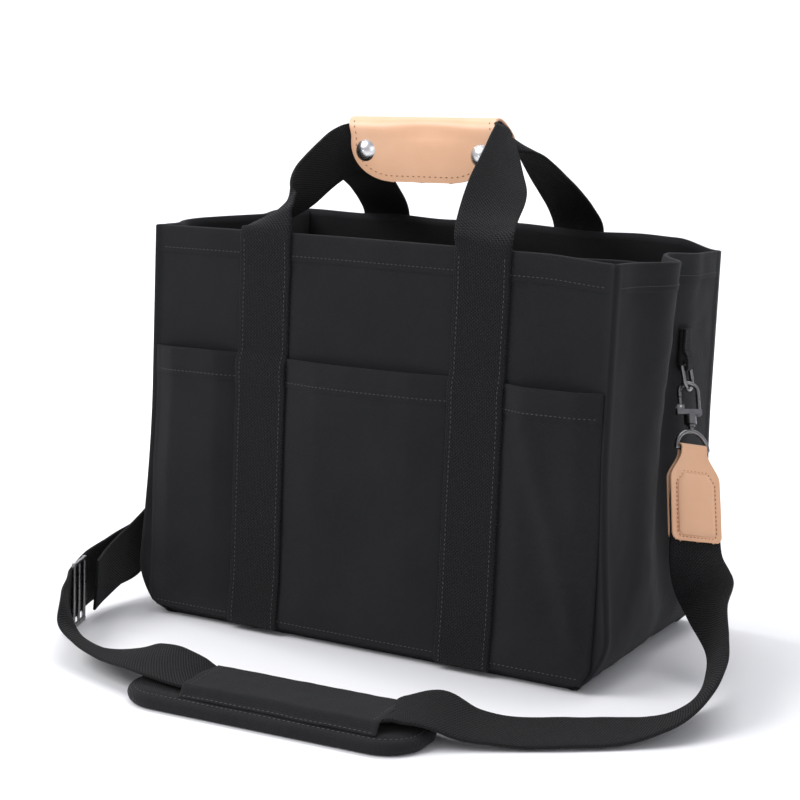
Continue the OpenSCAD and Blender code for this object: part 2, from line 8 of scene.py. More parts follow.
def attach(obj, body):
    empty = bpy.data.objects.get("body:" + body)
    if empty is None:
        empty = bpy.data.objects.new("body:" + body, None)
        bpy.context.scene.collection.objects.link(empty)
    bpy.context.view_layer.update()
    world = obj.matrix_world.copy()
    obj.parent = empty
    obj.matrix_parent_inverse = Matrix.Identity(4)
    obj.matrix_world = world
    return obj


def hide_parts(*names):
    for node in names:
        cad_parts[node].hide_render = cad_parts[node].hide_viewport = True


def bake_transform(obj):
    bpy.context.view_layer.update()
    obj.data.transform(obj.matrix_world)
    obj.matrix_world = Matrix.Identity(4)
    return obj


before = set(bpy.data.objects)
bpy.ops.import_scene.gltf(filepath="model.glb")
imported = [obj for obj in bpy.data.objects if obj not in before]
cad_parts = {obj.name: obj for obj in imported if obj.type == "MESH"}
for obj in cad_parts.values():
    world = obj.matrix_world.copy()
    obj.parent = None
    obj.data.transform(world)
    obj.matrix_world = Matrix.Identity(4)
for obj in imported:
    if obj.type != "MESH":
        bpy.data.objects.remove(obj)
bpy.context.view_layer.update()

# Every length below is in millimetres, and becomes metres when a mesh is made.
MM = 0.001
H = 276.0
HALF_D = 102.5


def vec(p):
    return Vector((p[0], p[1], p[2]))


def clamp(x, lo=0.0, hi=1.0):
    return max(lo, min(hi, x))


def step(a, b, x):
    t = clamp((x - a) / (b - a))
    return t * t * (3 - 2 * t)


def bell(x, mid, width):
    return exp(-(((x - mid) / width) ** 2))


def wrinkle(x, y, z, size, seed):
    return noise.noise(Vector((x / size + seed, y / size - seed * 0.7, z / size + seed * 1.3)))


def side_x(z):
    if z < 38:
        return 178 - 20 * ((38 - z) / 38) ** 2
    return 170 + 8 * (1 - sin(radians(90 * min(1, (z - 38) / 130))))


def gusset_x(y, z):
    flare = 18 * z / H * exp(-(((y + 40) / 28) ** 2))
    valley = 9 * min(1, z / 90) * exp(-(((y - 18) / 21) ** 2))
    return side_x(z) + flare - valley


# ---------------------------------------------------------------------------- camera


def make_camera():
    data = bpy.data.cameras.new("camera")
    data.lens = 79.5
    data.sensor_width = 36
    data.clip_start = 0.05
    data.clip_end = 40
    ob = bpy.data.objects.new("camera", data)
    bpy.context.collection.objects.link(ob)
    yaw, pitch, roll = radians(27.32), radians(8.79), radians(2.44)
    ahead = Vector((-sin(yaw) * cos(pitch), cos(yaw) * cos(pitch), -sin(pitch)))
    right = Vector((cos(yaw), sin(yaw), 0))
    up = right.cross(ahead)
    side = right * cos(roll) + up * sin(roll)
    top = up * cos(roll) - right * sin(roll)
    m = Matrix((
        (side.x, top.x, -ahead.x, 0.5492),
        (side.y, top.y, -ahead.y, -1.1171),
        (side.z, top.z, -ahead.z, 0.3507),
        (0, 0, 0, 1),
    ))
    ob.matrix_world = m
    bpy.context.scene.camera = ob


make_camera()

# ------------------------------------------------------------------------- materials


class Nodes:
    """A small helper that builds a procedural material around one Principled shader."""

    def __init__(self, name, rough, metal=0.0):
        self.mat = bpy.data.materials.new(name)
        self.mat.use_nodes = True
        self.tree = self.mat.node_tree
        self.tree.nodes.clear()
        out = self.tree.nodes.new("ShaderNodeOutputMaterial")
        self.bsdf = self.tree.nodes.new("ShaderNodeBsdfPrincipled")
        self.tree.links.new(self.bsdf.outputs[0], out.inputs[0])
        self.bsdf.inputs["Roughness"].default_value = rough
        self.bsdf.inputs["Metallic"].default_value = metal

    def add(self, kind, **props):
        n = self.tree.nodes.new(kind)
        for key, value in props.items():
            setattr(n, key, value)
        return n

    def put(self, socket, value):
        if isinstance(value, bpy.types.NodeSocket):
            self.tree.links.new(value, socket)
        else:
            socket.default_value = value

    def math(self, op, a, b=0.0):
        n = self.add("ShaderNodeMath", operation=op)
        self.put(n.inputs[0], a)
        self.put(n.inputs[1], b)
        return n.outputs[0]

    def noise(self, vector, scale, detail=2.0, rough=0.5):
        n = self.add("ShaderNodeTexNoise")
        self.put(n.inputs["Vector"], vector)
        n.inputs["Scale"].default_value = scale
        n.inputs["Detail"].default_value = detail
        n.inputs["Roughness"].default_value = rough
        return n.outputs["Fac"]

    def uv(self):
        return self.add("ShaderNodeUVMap", uv_map="cloth").outputs[0]

    def place(self):
        return self.add("ShaderNodeTexCoord").outputs["Object"]

    def ramp(self, fac, stops):
        n = self.add("ShaderNodeValToRGB")
        self.put(n.inputs[0], fac)
        while len(n.color_ramp.elements) < len(stops):
            n.color_ramp.elements.new(0.5)
        for e, (pos, col) in zip(n.color_ramp.elements, stops):
            e.position = pos
            e.color = (*col, 1)
        return n.outputs[0]

    def mix(self, fac, a, b, mode="MIX"):
        n = self.add("ShaderNodeMix", data_type="RGBA", blend_type=mode)
        self.put(n.inputs[0], fac)
        self.put(n.inputs[6], a)
        self.put(n.inputs[7], b)
        return n.outputs[2]

    def bump(self, height, strength, distance):
        n = self.add("ShaderNodeBump")
        n.inputs["Strength"].default_value = strength
        n.inputs["Distance"].default_value = distance
        self.put(n.inputs["Height"], height)
        self.put(self.bsdf.inputs["Normal"], n.outputs[0])

    def weave(self, pitch_u, pitch_v):
        """Height of a plain weave, 0 to 1, with threads of that pitch in metres."""
        sep = self.add("ShaderNodeSeparateXYZ")
        self.put(sep.inputs[0], self.uv())
        u = self.math("DIVIDE", sep.outputs[0], pitch_u)
        v = self.math("DIVIDE", sep.outputs[1], pitch_v)
        ridge_u = self.math("ABSOLUTE", self.math("SINE", self.math("MULTIPLY", u, pi)))
        ridge_v = self.math("ABSOLUTE", self.math("SINE", self.math("MULTIPLY", v, pi)))
        cell = self.math("MODULO", self.math("ADD", self.math("FLOOR", u), self.math("FLOOR", v)), 2.0)
        cell = self.math("ABSOLUTE", cell)
        up = self.math("MULTIPLY", ridge_u, cell)
        down = self.math("MULTIPLY", ridge_v, self.math("SUBTRACT", 1.0, cell))
        return self.math("ADD", up, down), cell


def canvas_material(name, painted_shade_scale=1.0):
    # The scale argument multiplies every colour of the canvas; below 1 it paints shade into it, as used for the bag's
    # interior.
    n = Nodes(name, 0.88)
    height, _ = n.weave(0.0009, 0.0009)
    slub = n.noise(n.uv(), 420.0, 3.0)
    patch = n.noise(n.place(), 22.0, 3.0)
    fleck = n.noise(n.uv(), 1500.0, 2.0, 0.7)
    base = n.ramp(patch, [(0.3, (0.0085 * painted_shade_scale, 0.0086 * painted_shade_scale, 0.0096 * painted_shade_scale)),
                          (0.7, (0.0130 * painted_shade_scale, 0.0132 * painted_shade_scale, 0.0146 * painted_shade_scale))])
    base = n.mix(n.math("MULTIPLY", slub, 0.55), base, (0.019 * painted_shade_scale, 0.0193 * painted_shade_scale, 0.021 * painted_shade_scale, 1))
    base = n.mix(n.math("MULTIPLY", n.math("GREATER_THAN", fleck, 0.66), 0.35), base,
                 (0.036 * painted_shade_scale, 0.0365 * painted_shade_scale, 0.039 * painted_shade_scale, 1))
    n.put(n.bsdf.inputs["Base Color"], base)
    rough = n.math("ADD", 0.78, n.math("MULTIPLY", patch, 0.2))
    n.put(n.bsdf.inputs["Roughness"], rough)
    n.bsdf.inputs["Sheen Weight"].default_value = 0.05
    n.bsdf.inputs["Sheen Roughness"].default_value = 0.45
    n.bsdf.inputs["Specular IOR Level"].default_value = 0.14
    total = n.math("ADD", n.math("MULTIPLY", height, 0.6), n.math("MULTIPLY", slub, 0.7))
    n.bump(total, 0.7, 0.0004)
    return n.mat


def webbing_material(name):
    n = Nodes(name, 0.85)
    height, cell = n.weave(0.0012, 0.0011)
    slub = n.noise(n.uv(), 500.0, 3.0)
    base = n.mix(height, (0.0025, 0.0025, 0.003, 1), (0.0105, 0.0106, 0.012, 1))
    base = n.mix(n.math("MULTIPLY", slub, 0.5), base, (0.0085, 0.0086, 0.0095, 1))
    n.put(n.bsdf.inputs["Base Color"], base)
    n.put(n.bsdf.inputs["Roughness"], n.math("ADD", 0.72, n.math("MULTIPLY", slub, 0.25)))
    n.bsdf.inputs["Sheen Weight"].default_value = 0.05
    n.bsdf.inputs["Specular IOR Level"].default_value = 0.14
    n.bump(n.math("ADD", height, n.math("MULTIPLY", slub, 0.5)), 0.9, 0.0008)
    return n.mat


def leather_material(name):
    n = Nodes(name, 0.36)
    broad = n.noise(n.place(), 28.0, 3.0)
    fine = n.noise(n.place(), 1400.0, 3.0, 0.6)
    pores = n.add("ShaderNodeTexVoronoi")
    n.put(pores.inputs["Vector"], n.place())
    pores.inputs["Scale"].default_value = 900.0
    base = n.ramp(broad, [(0.25, (0.735, 0.415, 0.245)), (0.55, (0.800, 0.470, 0.290)),
                          (0.8, (0.835, 0.515, 0.335))])
    base = n.mix(n.math("MULTIPLY", fine, 0.22), base, (0.62, 0.32, 0.17, 1))
    n.put(n.bsdf.inputs["Base Color"], base)
    n.put(n.bsdf.inputs["Roughness"], n.math("ADD", 0.30, n.math("MULTIPLY", fine, 0.14)))
    n.bsdf.inputs["Coat Weight"].default_value = 0.15
    n.bsdf.inputs["Coat Roughness"].default_value = 0.25
    n.bsdf.inputs["Specular IOR Level"].default_value = 0.45
    n.bump(n.math("ADD", pores.outputs["Distance"], fine), 0.12, 0.0003)
    return n.mat


def leather_edge_material(name):
    n = Nodes(name, 0.6)
    fine = n.noise(n.place(), 900.0, 3.0, 0.6)
    n.put(n.bsdf.inputs["Base Color"], n.ramp(fine, [(0.3, (0.60, 0.33, 0.19)), (0.7, (0.78, 0.50, 0.33))]))
    n.bump(fine, 0.3, 0.0003)
    return n.mat


def metal_material(name, color, rough, wear=0.08):
    n = Nodes(name, rough, 1.0)
    haze = n.noise(n.place(), 240.0, 4.0, 0.6)
    fine = n.noise(n.place(), 2600.0, 2.0)
    dark = tuple(c * 0.8 for c in color)
    n.put(n.bsdf.inputs["Base Color"], n.ramp(haze, [(0.3, dark), (0.7, color)]))
    n.put(n.bsdf.inputs["Roughness"], n.math("ADD", rough, n.math("MULTIPLY", haze, wear)))
    n.bump(fine, 0.05, 0.0002)
    return n.mat


def thread_material(name, color):
    n = Nodes(name, 0.7)
    twist = n.noise(n.place(), 2500.0, 2.0)
    dark = tuple(c * 0.6 for c in color)
    n.put(n.bsdf.inputs["Base Color"], n.ramp(twist, [(0.35, dark), (0.65, color)]))
    n.bump(twist, 0.4, 0.0003)
    return n.mat


CANVAS = canvas_material("canvas")
# The same canvas at 0.75 brightness: painted shade for the inside of the bag, its inner walls, base board cover and
# divider.
SHADED_INTERIOR_CANVAS = canvas_material("interior_canvas_painted_shade", 0.75)
WEBBING = webbing_material("webbing")
LEATHER = leather_material("leather")
LEATHER_EDGE = leather_edge_material("leather_edge")
DARK_METAL = metal_material("dark_metal", (0.23, 0.225, 0.23), 0.24)
BRIGHT_METAL = metal_material("bright_metal", (0.78, 0.78, 0.79), 0.24, 0.06)
THREAD = thread_material("thread", (0.060, 0.061, 0.066))
TAN_THREAD = thread_material("tan_thread", (0.42, 0.20, 0.09))

# ---------------------------------------------------------------------- mesh building


def make_mesh(name, verts, faces, uvs, mats, body, face_mats=None):
    """A mesh piece from points in mm, faces, and one cloth UV in mm for each face corner."""
    me = bpy.data.meshes.new(name)
    me.from_pydata([tuple(c * MM for c in v) for v in verts], [], faces)
    if uvs:
        layer = me.uv_layers.new(name="cloth")
        flat = []
        for loops in uvs:
            for u, v in loops:
                flat.extend((u * MM, v * MM))
        layer.data.foreach_set("uv", flat)
    for m in mats:
        me.materials.append(m)
    me.polygons.foreach_set("use_smooth", [True] * len(faces))
    if face_mats:
        me.polygons.foreach_set("material_index", face_mats)
    me.update()
    me.validate()
    ob = bpy.data.objects.new(name, me)
    bpy.context.collection.objects.link(ob)
    if body:
        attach(ob, body)
    return ob


class Builder:
    def __init__(self):
        self.v = []
        self.f = []
        self.uv = []
        self.m = []

    def quad(self, ids, uvs, mat=0):
        self.f.append(tuple(ids))
        self.uv.append(uvs)
        self.m.append(mat)

    def grid(self, rows, uvs, flip=False, close_u=False, mat=0):
        """rows of points; uvs of the same shape. Returns the index of each point."""
        base = len(self.v)
        nu = len(rows[0])
        for row in rows:
            self.v.extend(row)
        ids = [[base + i * nu + j for j in range(nu)] for i in range(len(rows))]
        count = nu if close_u else nu - 1
        for i in range(len(rows) - 1):
            for j in range(count):
                k = (j + 1) % nu
                q = [ids[i][j], ids[i][k], ids[i + 1][k], ids[i + 1][j]]
                t = [uvs[i][j], uvs[i][k], uvs[i + 1][k], uvs[i + 1][j]]
                if flip:
                    q.reverse()
                    t.reverse()
                self.quad(q, t, mat)
        return ids

    def done(self, name, mats, body):
        return make_mesh(name, self.v, self.f, self.uv, mats, body, self.m)


def sheet_piece(name, point, us, vs, thick, mats, body, coords=None, edge=0.35):
    """A sheet of even thickness: point(u, v) gives its outer face, and the inner face is moved
    in along the surface's own normal. The rim is rounded with a middle row."""
    rows = [[Vector(point(u, v)) for u in us] for v in vs]
    nv, nu = len(rows), len(rows[0])
    normals = []
    for i in range(nv):
        line = []
        for j in range(nu):
            du = rows[i][min(j + 1, nu - 1)] - rows[i][max(j - 1, 0)]
            dv = rows[min(i + 1, nv - 1)][j] - rows[max(i - 1, 0)][j]
            n = du.cross(dv)
            line.append(n.normalized() if n.length > 1e-9 else Vector((0, 0, 1)))
        normals.append(line)
    uv = [[(coords(u, v) if coords else (u, v)) for u in us] for v in vs]
    b = Builder()
    front = b.grid([[tuple(p) for p in r] for r in rows], uv)
    back = b.grid([[tuple(rows[i][j] - normals[i][j] * thick) for j in range(nu)] for i in range(nv)],
                  uv, flip=True, mat=len(mats) - 1 if len(mats) > 1 else 0)
    # the rim: a bead row halfway through the thickness, pushed out a little
    loop = [(0, j) for j in range(nu)] + [(i, nu - 1) for i in range(1, nv)]
    loop += [(nv - 1, j) for j in range(nu - 2, -1, -1)] + [(i, 0) for i in range(nv - 2, 0, -1)]
    mids = []
    for (i, j) in loop:
        p = rows[i][j]
        out = Vector((0, 0, 0))
        if j == 0:
            out += (p - rows[i][1]).normalized()
        if j == nu - 1:
            out += (p - rows[i][nu - 2]).normalized()
        if i == 0:
            out += (p - rows[1][j]).normalized()
        if i == nv - 1:
            out += (p - rows[nv - 2][j]).normalized()
        mids.append(len(b.v))
        b.v.append(tuple(p - normals[i][j] * thick * 0.5 + out.normalized() * thick * edge))
    m = len(loop)
    for k in range(m):
        (i, j), (i2, j2) = loop[k], loop[(k + 1) % m]
        a, c = mids[k], mids[(k + 1) % m]
        b.quad([front[i][j], a, c, front[i2][j2]], [uv[i][j], uv[i][j], uv[i2][j2], uv[i2][j2]])
        b.quad([a, back[i][j], back[i2][j2], c], [uv[i][j], uv[i][j], uv[i2][j2], uv[i2][j2]])
    return b.done(name, mats, body)


def spread(a, b, n):
    return [a + (b - a) * i / n for i in range(n + 1)]


def smooth_route(rows, n):
    out = []
    m = len(rows) - 1
    for i in range(m):
        a, b, c, d = rows[max(i - 1, 0)], rows[i], rows[i + 1], rows[min(i + 2, m)]
        for k in range(n):
            t = k / n
            out.append([0.5 * (2 * q + (r - p) * t + (2 * p - 5 * q + 4 * r - s) * t * t
                               + (3 * q - p - 3 * r + s) * t ** 3) for p, q, r, s in zip(a, b, c, d)])
    out.append(list(rows[m]))
    return out


def frames(rows, n):
    q = smooth_route(rows, n)
    m = len(q) - 1
    out = []
    s = 0.0
    for i in range(m + 1):
        p = vec(q[i])
        along = (vec(q[min(i + 1, m)]) - vec(q[max(i - 1, 0)])).normalized()
        aim = Vector(q[i][3:6])
        across = (aim - along * aim.dot(along)).normalized()
        if i:
            s += (p - vec(q[i - 1])).length
        out.append((p, along, across, along.cross(across), s, q[i][6:]))
    return out


def ribbon_section(width, thick, n=14):
    """Points across a flat woven band, with slightly rounded edges."""
    half, t = width / 2, thick / 2
    top = []
    for i in range(n + 1):
        a = -half + width * i / n
        top.append((a, t))
    r = t
    right = [(half + 0.00 + r * 0.55 * cos(radians(d)), t * sin(radians(d))) for d in (45, 0, -45)]
    bottom = [(-a, -b) for a, b in top]
    left = [(-a, -b) for a, b in right]
    return [(-half + width * i / n, t) for i in range(n + 1)] + right + bottom + left


def ribbon_piece(name, rows, width, thick, n, body, cup=None, ripple=0.25, seed=1.0, mats=None):
    """Webbing along a route. A seventh number in a row scales its width."""
    fr = frames(rows, n)
    sec = ribbon_section(width, thick)
    ns = 14
    b = Builder()
    grid, uv = [], []
    for i, (p, along, across, up, s, extra) in enumerate(fr):
        scale = extra[0] if extra else 1.0
        row, uvr = [], []
        for k, (a, h) in enumerate(sec):
            aa = a * scale
            lift = ripple * wrinkle(a, s, 0, 17.0, seed)
            if cup:
                lift += cup(s / fr[-1][4], a / (width / 2))
            row.append(tuple(p + across * aa + up * (h + lift)))
            uvr.append((a + (0 if h > 0 else 200), s))
        grid.append(row)
        uv.append(uvr)
    ids = b.grid(grid, uv, close_u=True)
    k = len(sec)
    for end, order in ((0, -1), (-1, 1)):
        ring = ids[end]
        top = ring[:ns + 1]
        rest = ring[ns + 1:]
        side_a, low, side_b = rest[:3], rest[3:3 + ns + 1], rest[3 + ns + 1:]
        low = low[::-1]
        for j in range(ns):
            q = [top[j], top[j + 1], low[j + 1], low[j]]
            if order == 1:
                q.reverse()
            b.quad(q, [(0, 0)] * 4)
        fan_r = [top[ns]] + side_a + [low[ns]]
        fan_l = [low[0]] + side_b + [top[0]]
        for fan in (fan_r, fan_l):
            q = list(fan)
            if order == 1:
                q.reverse()
            b.quad(q, [(0, 0)] * len(q))
    return b.done(name, mats or [WEBBING], body), fr


def stitches(name, lines, body, mat, pitch=3.0, length=2.1, radius=0.32):
    """Rows of separate stitches. Each line is a list of (point, normal), in mm."""
    b = Builder()
    for line in lines:
        pts = [Vector(p) for p, _ in line]
        nor = [Vector(n).normalized() for _, n in line]
        dist = [0.0]
        for i in range(1, len(pts)):
            dist.append(dist[-1] + (pts[i] - pts[i - 1]).length)
        total = dist[-1]
        count = max(1, int(total / pitch))
        k = 0
        for c in range(count):
            s = (c + 0.5) * total / count
            while k < len(dist) - 2 and dist[k + 1] < s:
                k += 1
            t = (s - dist[k]) / max(1e-6, dist[k + 1] - dist[k])
            p = pts[k].lerp(pts[k + 1], t)
            n = nor[k].lerp(nor[k + 1], t).normalized()
            d = (pts[k + 1] - pts[k]).normalized()
            d = (d - n * d.dot(n)).normalized()
            w = n.cross(d)
            base = len(b.v)
            rings = ((-1.0, 0.0), (-0.7, 0.75), (0.0, 1.0), (0.7, 0.75), (1.0, 0.0))
            for t_along, r_scale in rings:
                sink = -0.55 * radius * abs(t_along) ** 2 * 1.6
                q = p + d * (t_along * length / 2) + n * (radius * 0.45 + sink)
                if r_scale == 0.0:
                    b.v.append(tuple(q))
                else:
                    for j in range(6):
                        a = 2 * pi * j / 6
                        b.v.append(tuple(q + (w * cos(a) + n * sin(a)) * radius * r_scale))
            first, last = base, base + 19
            r0, r1, r2 = base + 1, base + 7, base + 13
            for j in range(6):
                e = (j + 1) % 6
                b.quad([first, r0 + j, r0 + e], [(0, 0)] * 3)
                b.quad([r0 + j, r1 + j, r1 + e, r0 + e], [(0, 0)] * 4)
                b.quad([r1 + j, r2 + j, r2 + e, r1 + e], [(0, 0)] * 4)
                b.quad([last, r2 + e, r2 + j], [(0, 0)] * 3)
    ob = b.done(name, [mat], body)
    return ob


# --------------------------------------------------------------------- shoulder strap

STRAP = [[187.4, 16.3, 138.5, 0.62, 0.77, -0.15], [192.6, 7.8, 116.7, 0.62, 0.77, -0.15],
    [198, -0.9, 93.9, 0.62, 0.77, -0.15], [202, -7.5, 77, 0.68, 0.68, -0.05],
    [209.5, -15.5, 64, 0.75, 0.45, 0.3],
    [219, -26, 54, 0.7, 0.1, 0.65], [232, -50, 42, 0.4, -0.35, 0.85], [241, -75, 31, 0.4, -0.3, 0.85],
    [245, -100, 22, 0.55, -0.3, 0.75],
    [241, -125, 14, 0.7, -0.4, 0.5], [229, -149, 8, 0.8, -0.55, 0.2], [209, -170, 5, 0.75, -0.65, -0.05],
    [187, -188, 5, 0.6, -0.8, -0.1], [166, -203, 5, 0.4, -0.9, -0.1], [145, -217, 9, 0.2, -0.95, -0.1],
    [125, -231, 18, 0.05, -0.95, -0.2], [107, -241, 18, 0, -1, -0.1], [92, -246, 15, 0, -1, 0],
    [60, -248, 14.5, 0, -1, 0], [28, -249, 14.5, 0, -1, 0], [0, -250, 14.5, 0, -1, 0],
    [-22, -251, 15, 0, -1, 0], [-38, -251, 18, 0, -1, -0.15], [-56, -249, 20, 0, -1, -0.2],
    [-76, -244, 19, 0, -1, -0.1], [-97, -237, 15, 0, -0.95, 0.1], [-121, -229, 12, 0.1, -0.95, 0.35],
    [-144, -219, 14, 0.25, -0.85, 0.4], [-163, -203, 20, 0.45, -0.7, 0.5], [-181, -184.5, 23, 0.1, 0, 1],
    [-192.3, -159.5, 24, 0, 0, 1], [-200.5, -134, 27, 0, 0.05, 1], [-202, -107, 31, 0, 0.3, 0.95],
    [-199.5, -82, 37, 0, 0.45, 0.85], [-199.5, -58, 48, 0, -0.5, 0.85], [-197.5, -36, 65, 0, -0.65, 0.75],
    [-193.5, -15, 87, -0.05, -0.75, 0.65], [-191.5, 1, 109, 0, -0.8, 0.6],
    [-190.2, 9, 128, 0.05, -0.87, 0.5],
    [-188.2, 15.4, 143, 0.1, -0.9, 0.41], [-186.9, 17.9, 148.2, 0.1, -0.9, 0.41],
    [-182.7, 19.4, 150.5, 0.1, -0.9, 0.41], [-180.1, 17.9, 146.6, 0.1, -0.9, 0.41],
    [-181.4, 15.4, 141.3, 0.1, -0.9, 0.41]]
# The strap narrows where it is sewn inside the neck of the leather tab
TAPERED = [r + [0.42 if i == 0 else 0.94 if i == 1 else 1.0] for i, r in enumerate(STRAP)]
strap, strap_frames = ribbon_piece("shoulder_strap_webbing", TAPERED, 38, 2.2, 8, "bag", ripple=0.35, seed=3.1)
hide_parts("shoulder_strap")

RETURN = [[-181.7, 14.9, 140.2, 0.1, -0.9, 0.41], [-183.8, 9, 128, 0.05, -0.87, 0.5],
    [-185.5, 0.5, 109.5, 0, -0.8, 0.6], [-188, -15.5, 90, -0.05, -0.75, 0.65],
    [-192.5, -37, 69.5, 0, -0.65, 0.75], [-194.5, -60, 53.5, 0, -0.5, 0.85],
    [-194.5, -84, 42.5, 0, 0.45, 0.85],
    [-193, -108, 35, 0, 0.3, 0.95], [-189, -131, 29, 0.05, 0.1, 1], [-183, -149, 26, 0.1, 0, 1]]
back_layer, _ = ribbon_piece("strap_return_webbing", RETURN, 37, 2.0, 8, "bag", ripple=0.3, seed=7.7)
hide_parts("strap_return")

# ------------------------------------------------------------------------- bag shell

HEM = 18.5


def rim_z(x, y):
    """Height of the rim: the back stands a little higher than the front and droops at its ends."""
    back = step(-70, 60, y)
    z = 276.5 + 1.2 * bell(x, -30, 130) * (1 - back) - 3.0 * (1 - back) * step(120, 170, x)
    z += back * (6.5 - 2.0 * step(-60, 120, x) - 7.5 * step(138, 170, x))
    z += back * 1.5 * wrinkle(x, y, 0, 45.0, 2.0)
    return z


def level_z(z, x, y):
    return z + (rim_z(x, y) - H) * step(170, H, z)


def front_out(x, z, back=False):
    """How far a long wall stands out past its flat plane."""
    s = 11.3 if back else 4.2
    out = 2.2 * bell(z, 12, 16)
    out += 1.3 * wrinkle(x, 0, z, 60.0, s) * step(0, 40, z)
    out += 0.6 * wrinkle(x, 0, z, 19.0, s + 3) * step(0, 20, z)
    out += 1.0 * bell(x, 40 if not back else -60, 60) * bell(z, 150, 90)
    if not back:
        out += 1.0 * step(60, 165, x) * bell(z, 6, 14)
    band = step(H - HEM - 0.8, H - HEM + 0.2, z)
    return out + 0.9 * band


def end_out(y, z, right):
    out = 0.0
    s = 21.0 if right else 33.0
    out += 1.6 * wrinkle(0, y, z * 0.5, 34.0, s) * step(0, 30, z)
    out += 0.7 * wrinkle(0, y, z, 15.0, s + 5)
    out += 0.9 * step(H - HEM - 0.8, H - HEM + 0.2, z)
    return out


def shell_point(side, t, z):
    """side 0 front, 1 right, 2 back, 3 left; t runs 0 to 1 anticlockwise seen from above."""
    tuck = 7.5 * (1 - step(0, 9, z)) if z < 9 else 0.0
    sx = side_x(z)
    crest = 2.4
    if side in (0, 2):
        x = -sx + 2 * sx * t
        out = front_out(x if side == 0 else -x, z, side == 2) * step(0, 0.03, t) * step(0, 0.03, 1 - t)
        rise = crest * (bell(t, 0, 0.008) + bell(t, 1, 0.008))
        y = -(HALF_D + out + rise - tuck)
        if side == 2:
            return Vector((-x, -y, 0))
        return Vector((x, y, 0))
    y = -HALF_D + 1.5 + (2 * HALF_D - 3) * t
    if side == 3:
        y = -y
    x = gusset_x(y, z) + end_out(y, z, side == 1) * step(0, 0.06, t) * step(0, 0.06, 1 - t)
    x += 1.6 * (bell(t, 0, 0.014) + bell(t, 1, 0.014)) - tuck * 0.6
    return Vector((x if side == 1 else -x, y, 0))


def shell_ring(z):
    ring = []
    fine = [0, 0.006, 0.012, 0.02, 0.03]
    long_t = fine + spread(0.045, 0.955, 74) + [1 - q for q in fine[::-1]]
    short_t = [0.012, 0.024, 0.04] + spread(0.06, 0.94, 46) + [1 - q for q in (0.04, 0.024, 0.012)]
    for side in range(4):
        for t in (long_t if side in (0, 2) else short_t):
            p = shell_point(side, t, z)
            q = Vector((p.x, p.y, level_z(z, p.x, p.y)))
            ring.append((q, side))
    return ring


def make_shell():
    levels = [0.4, 1.2, 3.0, 5.5, 9.0] + spread(13, H - HEM - 2.5, 62)
    levels += [H - HEM - 1.2, H - HEM - 0.6, H - HEM, H - HEM + 1.0] + spread(H - HEM + 4, H - 1.0, 4)
    outer = [[p for p, _ in shell_ring(z)] for z in levels]
    n = len(outer[0])

    def inward(ring, amount):
        out = []
        for j in range(n):
            a, c = ring[(j - 1) % n], ring[(j + 1) % n]
            d = c - a
            d.z = 0
            nor = Vector((d.y, -d.x, 0))
            nor = nor.normalized() if nor.length > 1e-6 else Vector((0, 0, 0))
            out.append(ring[j] - nor * amount)
        return out

    top = outer[-1]
    rings = list(outer)
    rings.append([p + Vector((0, 0, 0.8)) for p in inward(top, 0.7)])
    rings.append([p + Vector((0, 0, 1.0)) for p in inward(top, 1.9)])
    rings.append([p + Vector((0, 0, 0.4)) for p in inward(top, 3.1)])
    # Rings from here on are the inside faces, which take the canvas with painted shade.
    mark = len(rings)
    inner_levels = [H - 5, H - HEM + 1, H - HEM, H - HEM - 1] + spread(H - HEM - 8, 8, 24)
    for z in inner_levels:
        ring = [p for p, _ in shell_ring(z)]
        hem = 0.8 * step(H - HEM - 0.8, H - HEM + 0.2, z)
        rings.append(inward(ring, 3.0 + 1.2 * hem))
    # the inner face turns in over the floor
    floor = [Vector((p.x * 0.97, p.y * 0.96, 6.2)) for p in rings[-1]]
    rings.append(floor)
    centre = Vector((0, 0, 5.6))
    for k in (0.7, 0.35):
        rings.append([centre + (p - centre) * k + Vector((0, 0, 0.0)) for p in floor])
    # under the base
    low = outer[0]
    under = [[Vector((p.x * k, p.y * k, 0.15 + 1.6 * (1 - step(0.2, 0.85, k)))) for p in low]
             for k in (0.985, 0.93, 0.6, 0.3)]
    b = Builder()
    arc = [0.0]
    for j in range(1, n + 1):
        arc.append(arc[-1] + (outer[30][j % n] - outer[30][j - 1]).length)
    height = 0.0
    uv = []
    for i, ring in enumerate(rings):
        if i:
            height += (ring[20] - rings[i - 1][20]).length
        uv.append([(arc[j], height) for j in range(n)])
    base = len(b.v)
    for ring in rings:
        b.v.extend(tuple(p) for p in ring)
    for i in range(len(rings) - 1):
        for j in range(n):
            k = (j + 1) % n
            uk = arc[j + 1]
            b.quad([base + i * n + j, base + i * n + k, base + (i + 1) * n + k, base + (i + 1) * n + j],
                   [(arc[j], uv[i][j][1]), (uk, uv[i][j][1]), (uk, uv[i + 1][j][1]), (arc[j], uv[i + 1][j][1])],
                   1 if i >= mark else 0)
    last = base + (len(rings) - 1) * n
    mid = len(b.v)
    b.v.append(tuple(centre))
    for j in range(n):
        b.quad([last + j, last + (j + 1) % n, mid], [(0, 0), (1, 0), (0, 1)], 1)
    prev = [base + j for j in range(n)]
    for ring in under:
        start = len(b.v)
        b.v.extend(tuple(p) for p in ring)
        now = [start + j for j in range(n)]
        for j in range(n):
            k = (j + 1) % n
            uvq = [(b.v[i2][0], b.v[i2][1]) for i2 in (prev[k], prev[j], now[j], now[k])]
            b.quad([prev[k], prev[j], now[j], now[k]], uvq)
        prev = now
    mid = len(b.v)
    b.v.append((0, 0, 1.8))
    for j in range(n):
        k = (j + 1) % n
        b.quad([prev[k], prev[j], mid], [(0, 0), (1, 0), (0, 1)])
    return b.done("bag_shell", [CANVAS, SHADED_INTERIOR_CANVAS], "bag")


shell = make_shell()
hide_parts("front_panel", "back_panel", "left_gusset", "right_gusset", "base_panel")

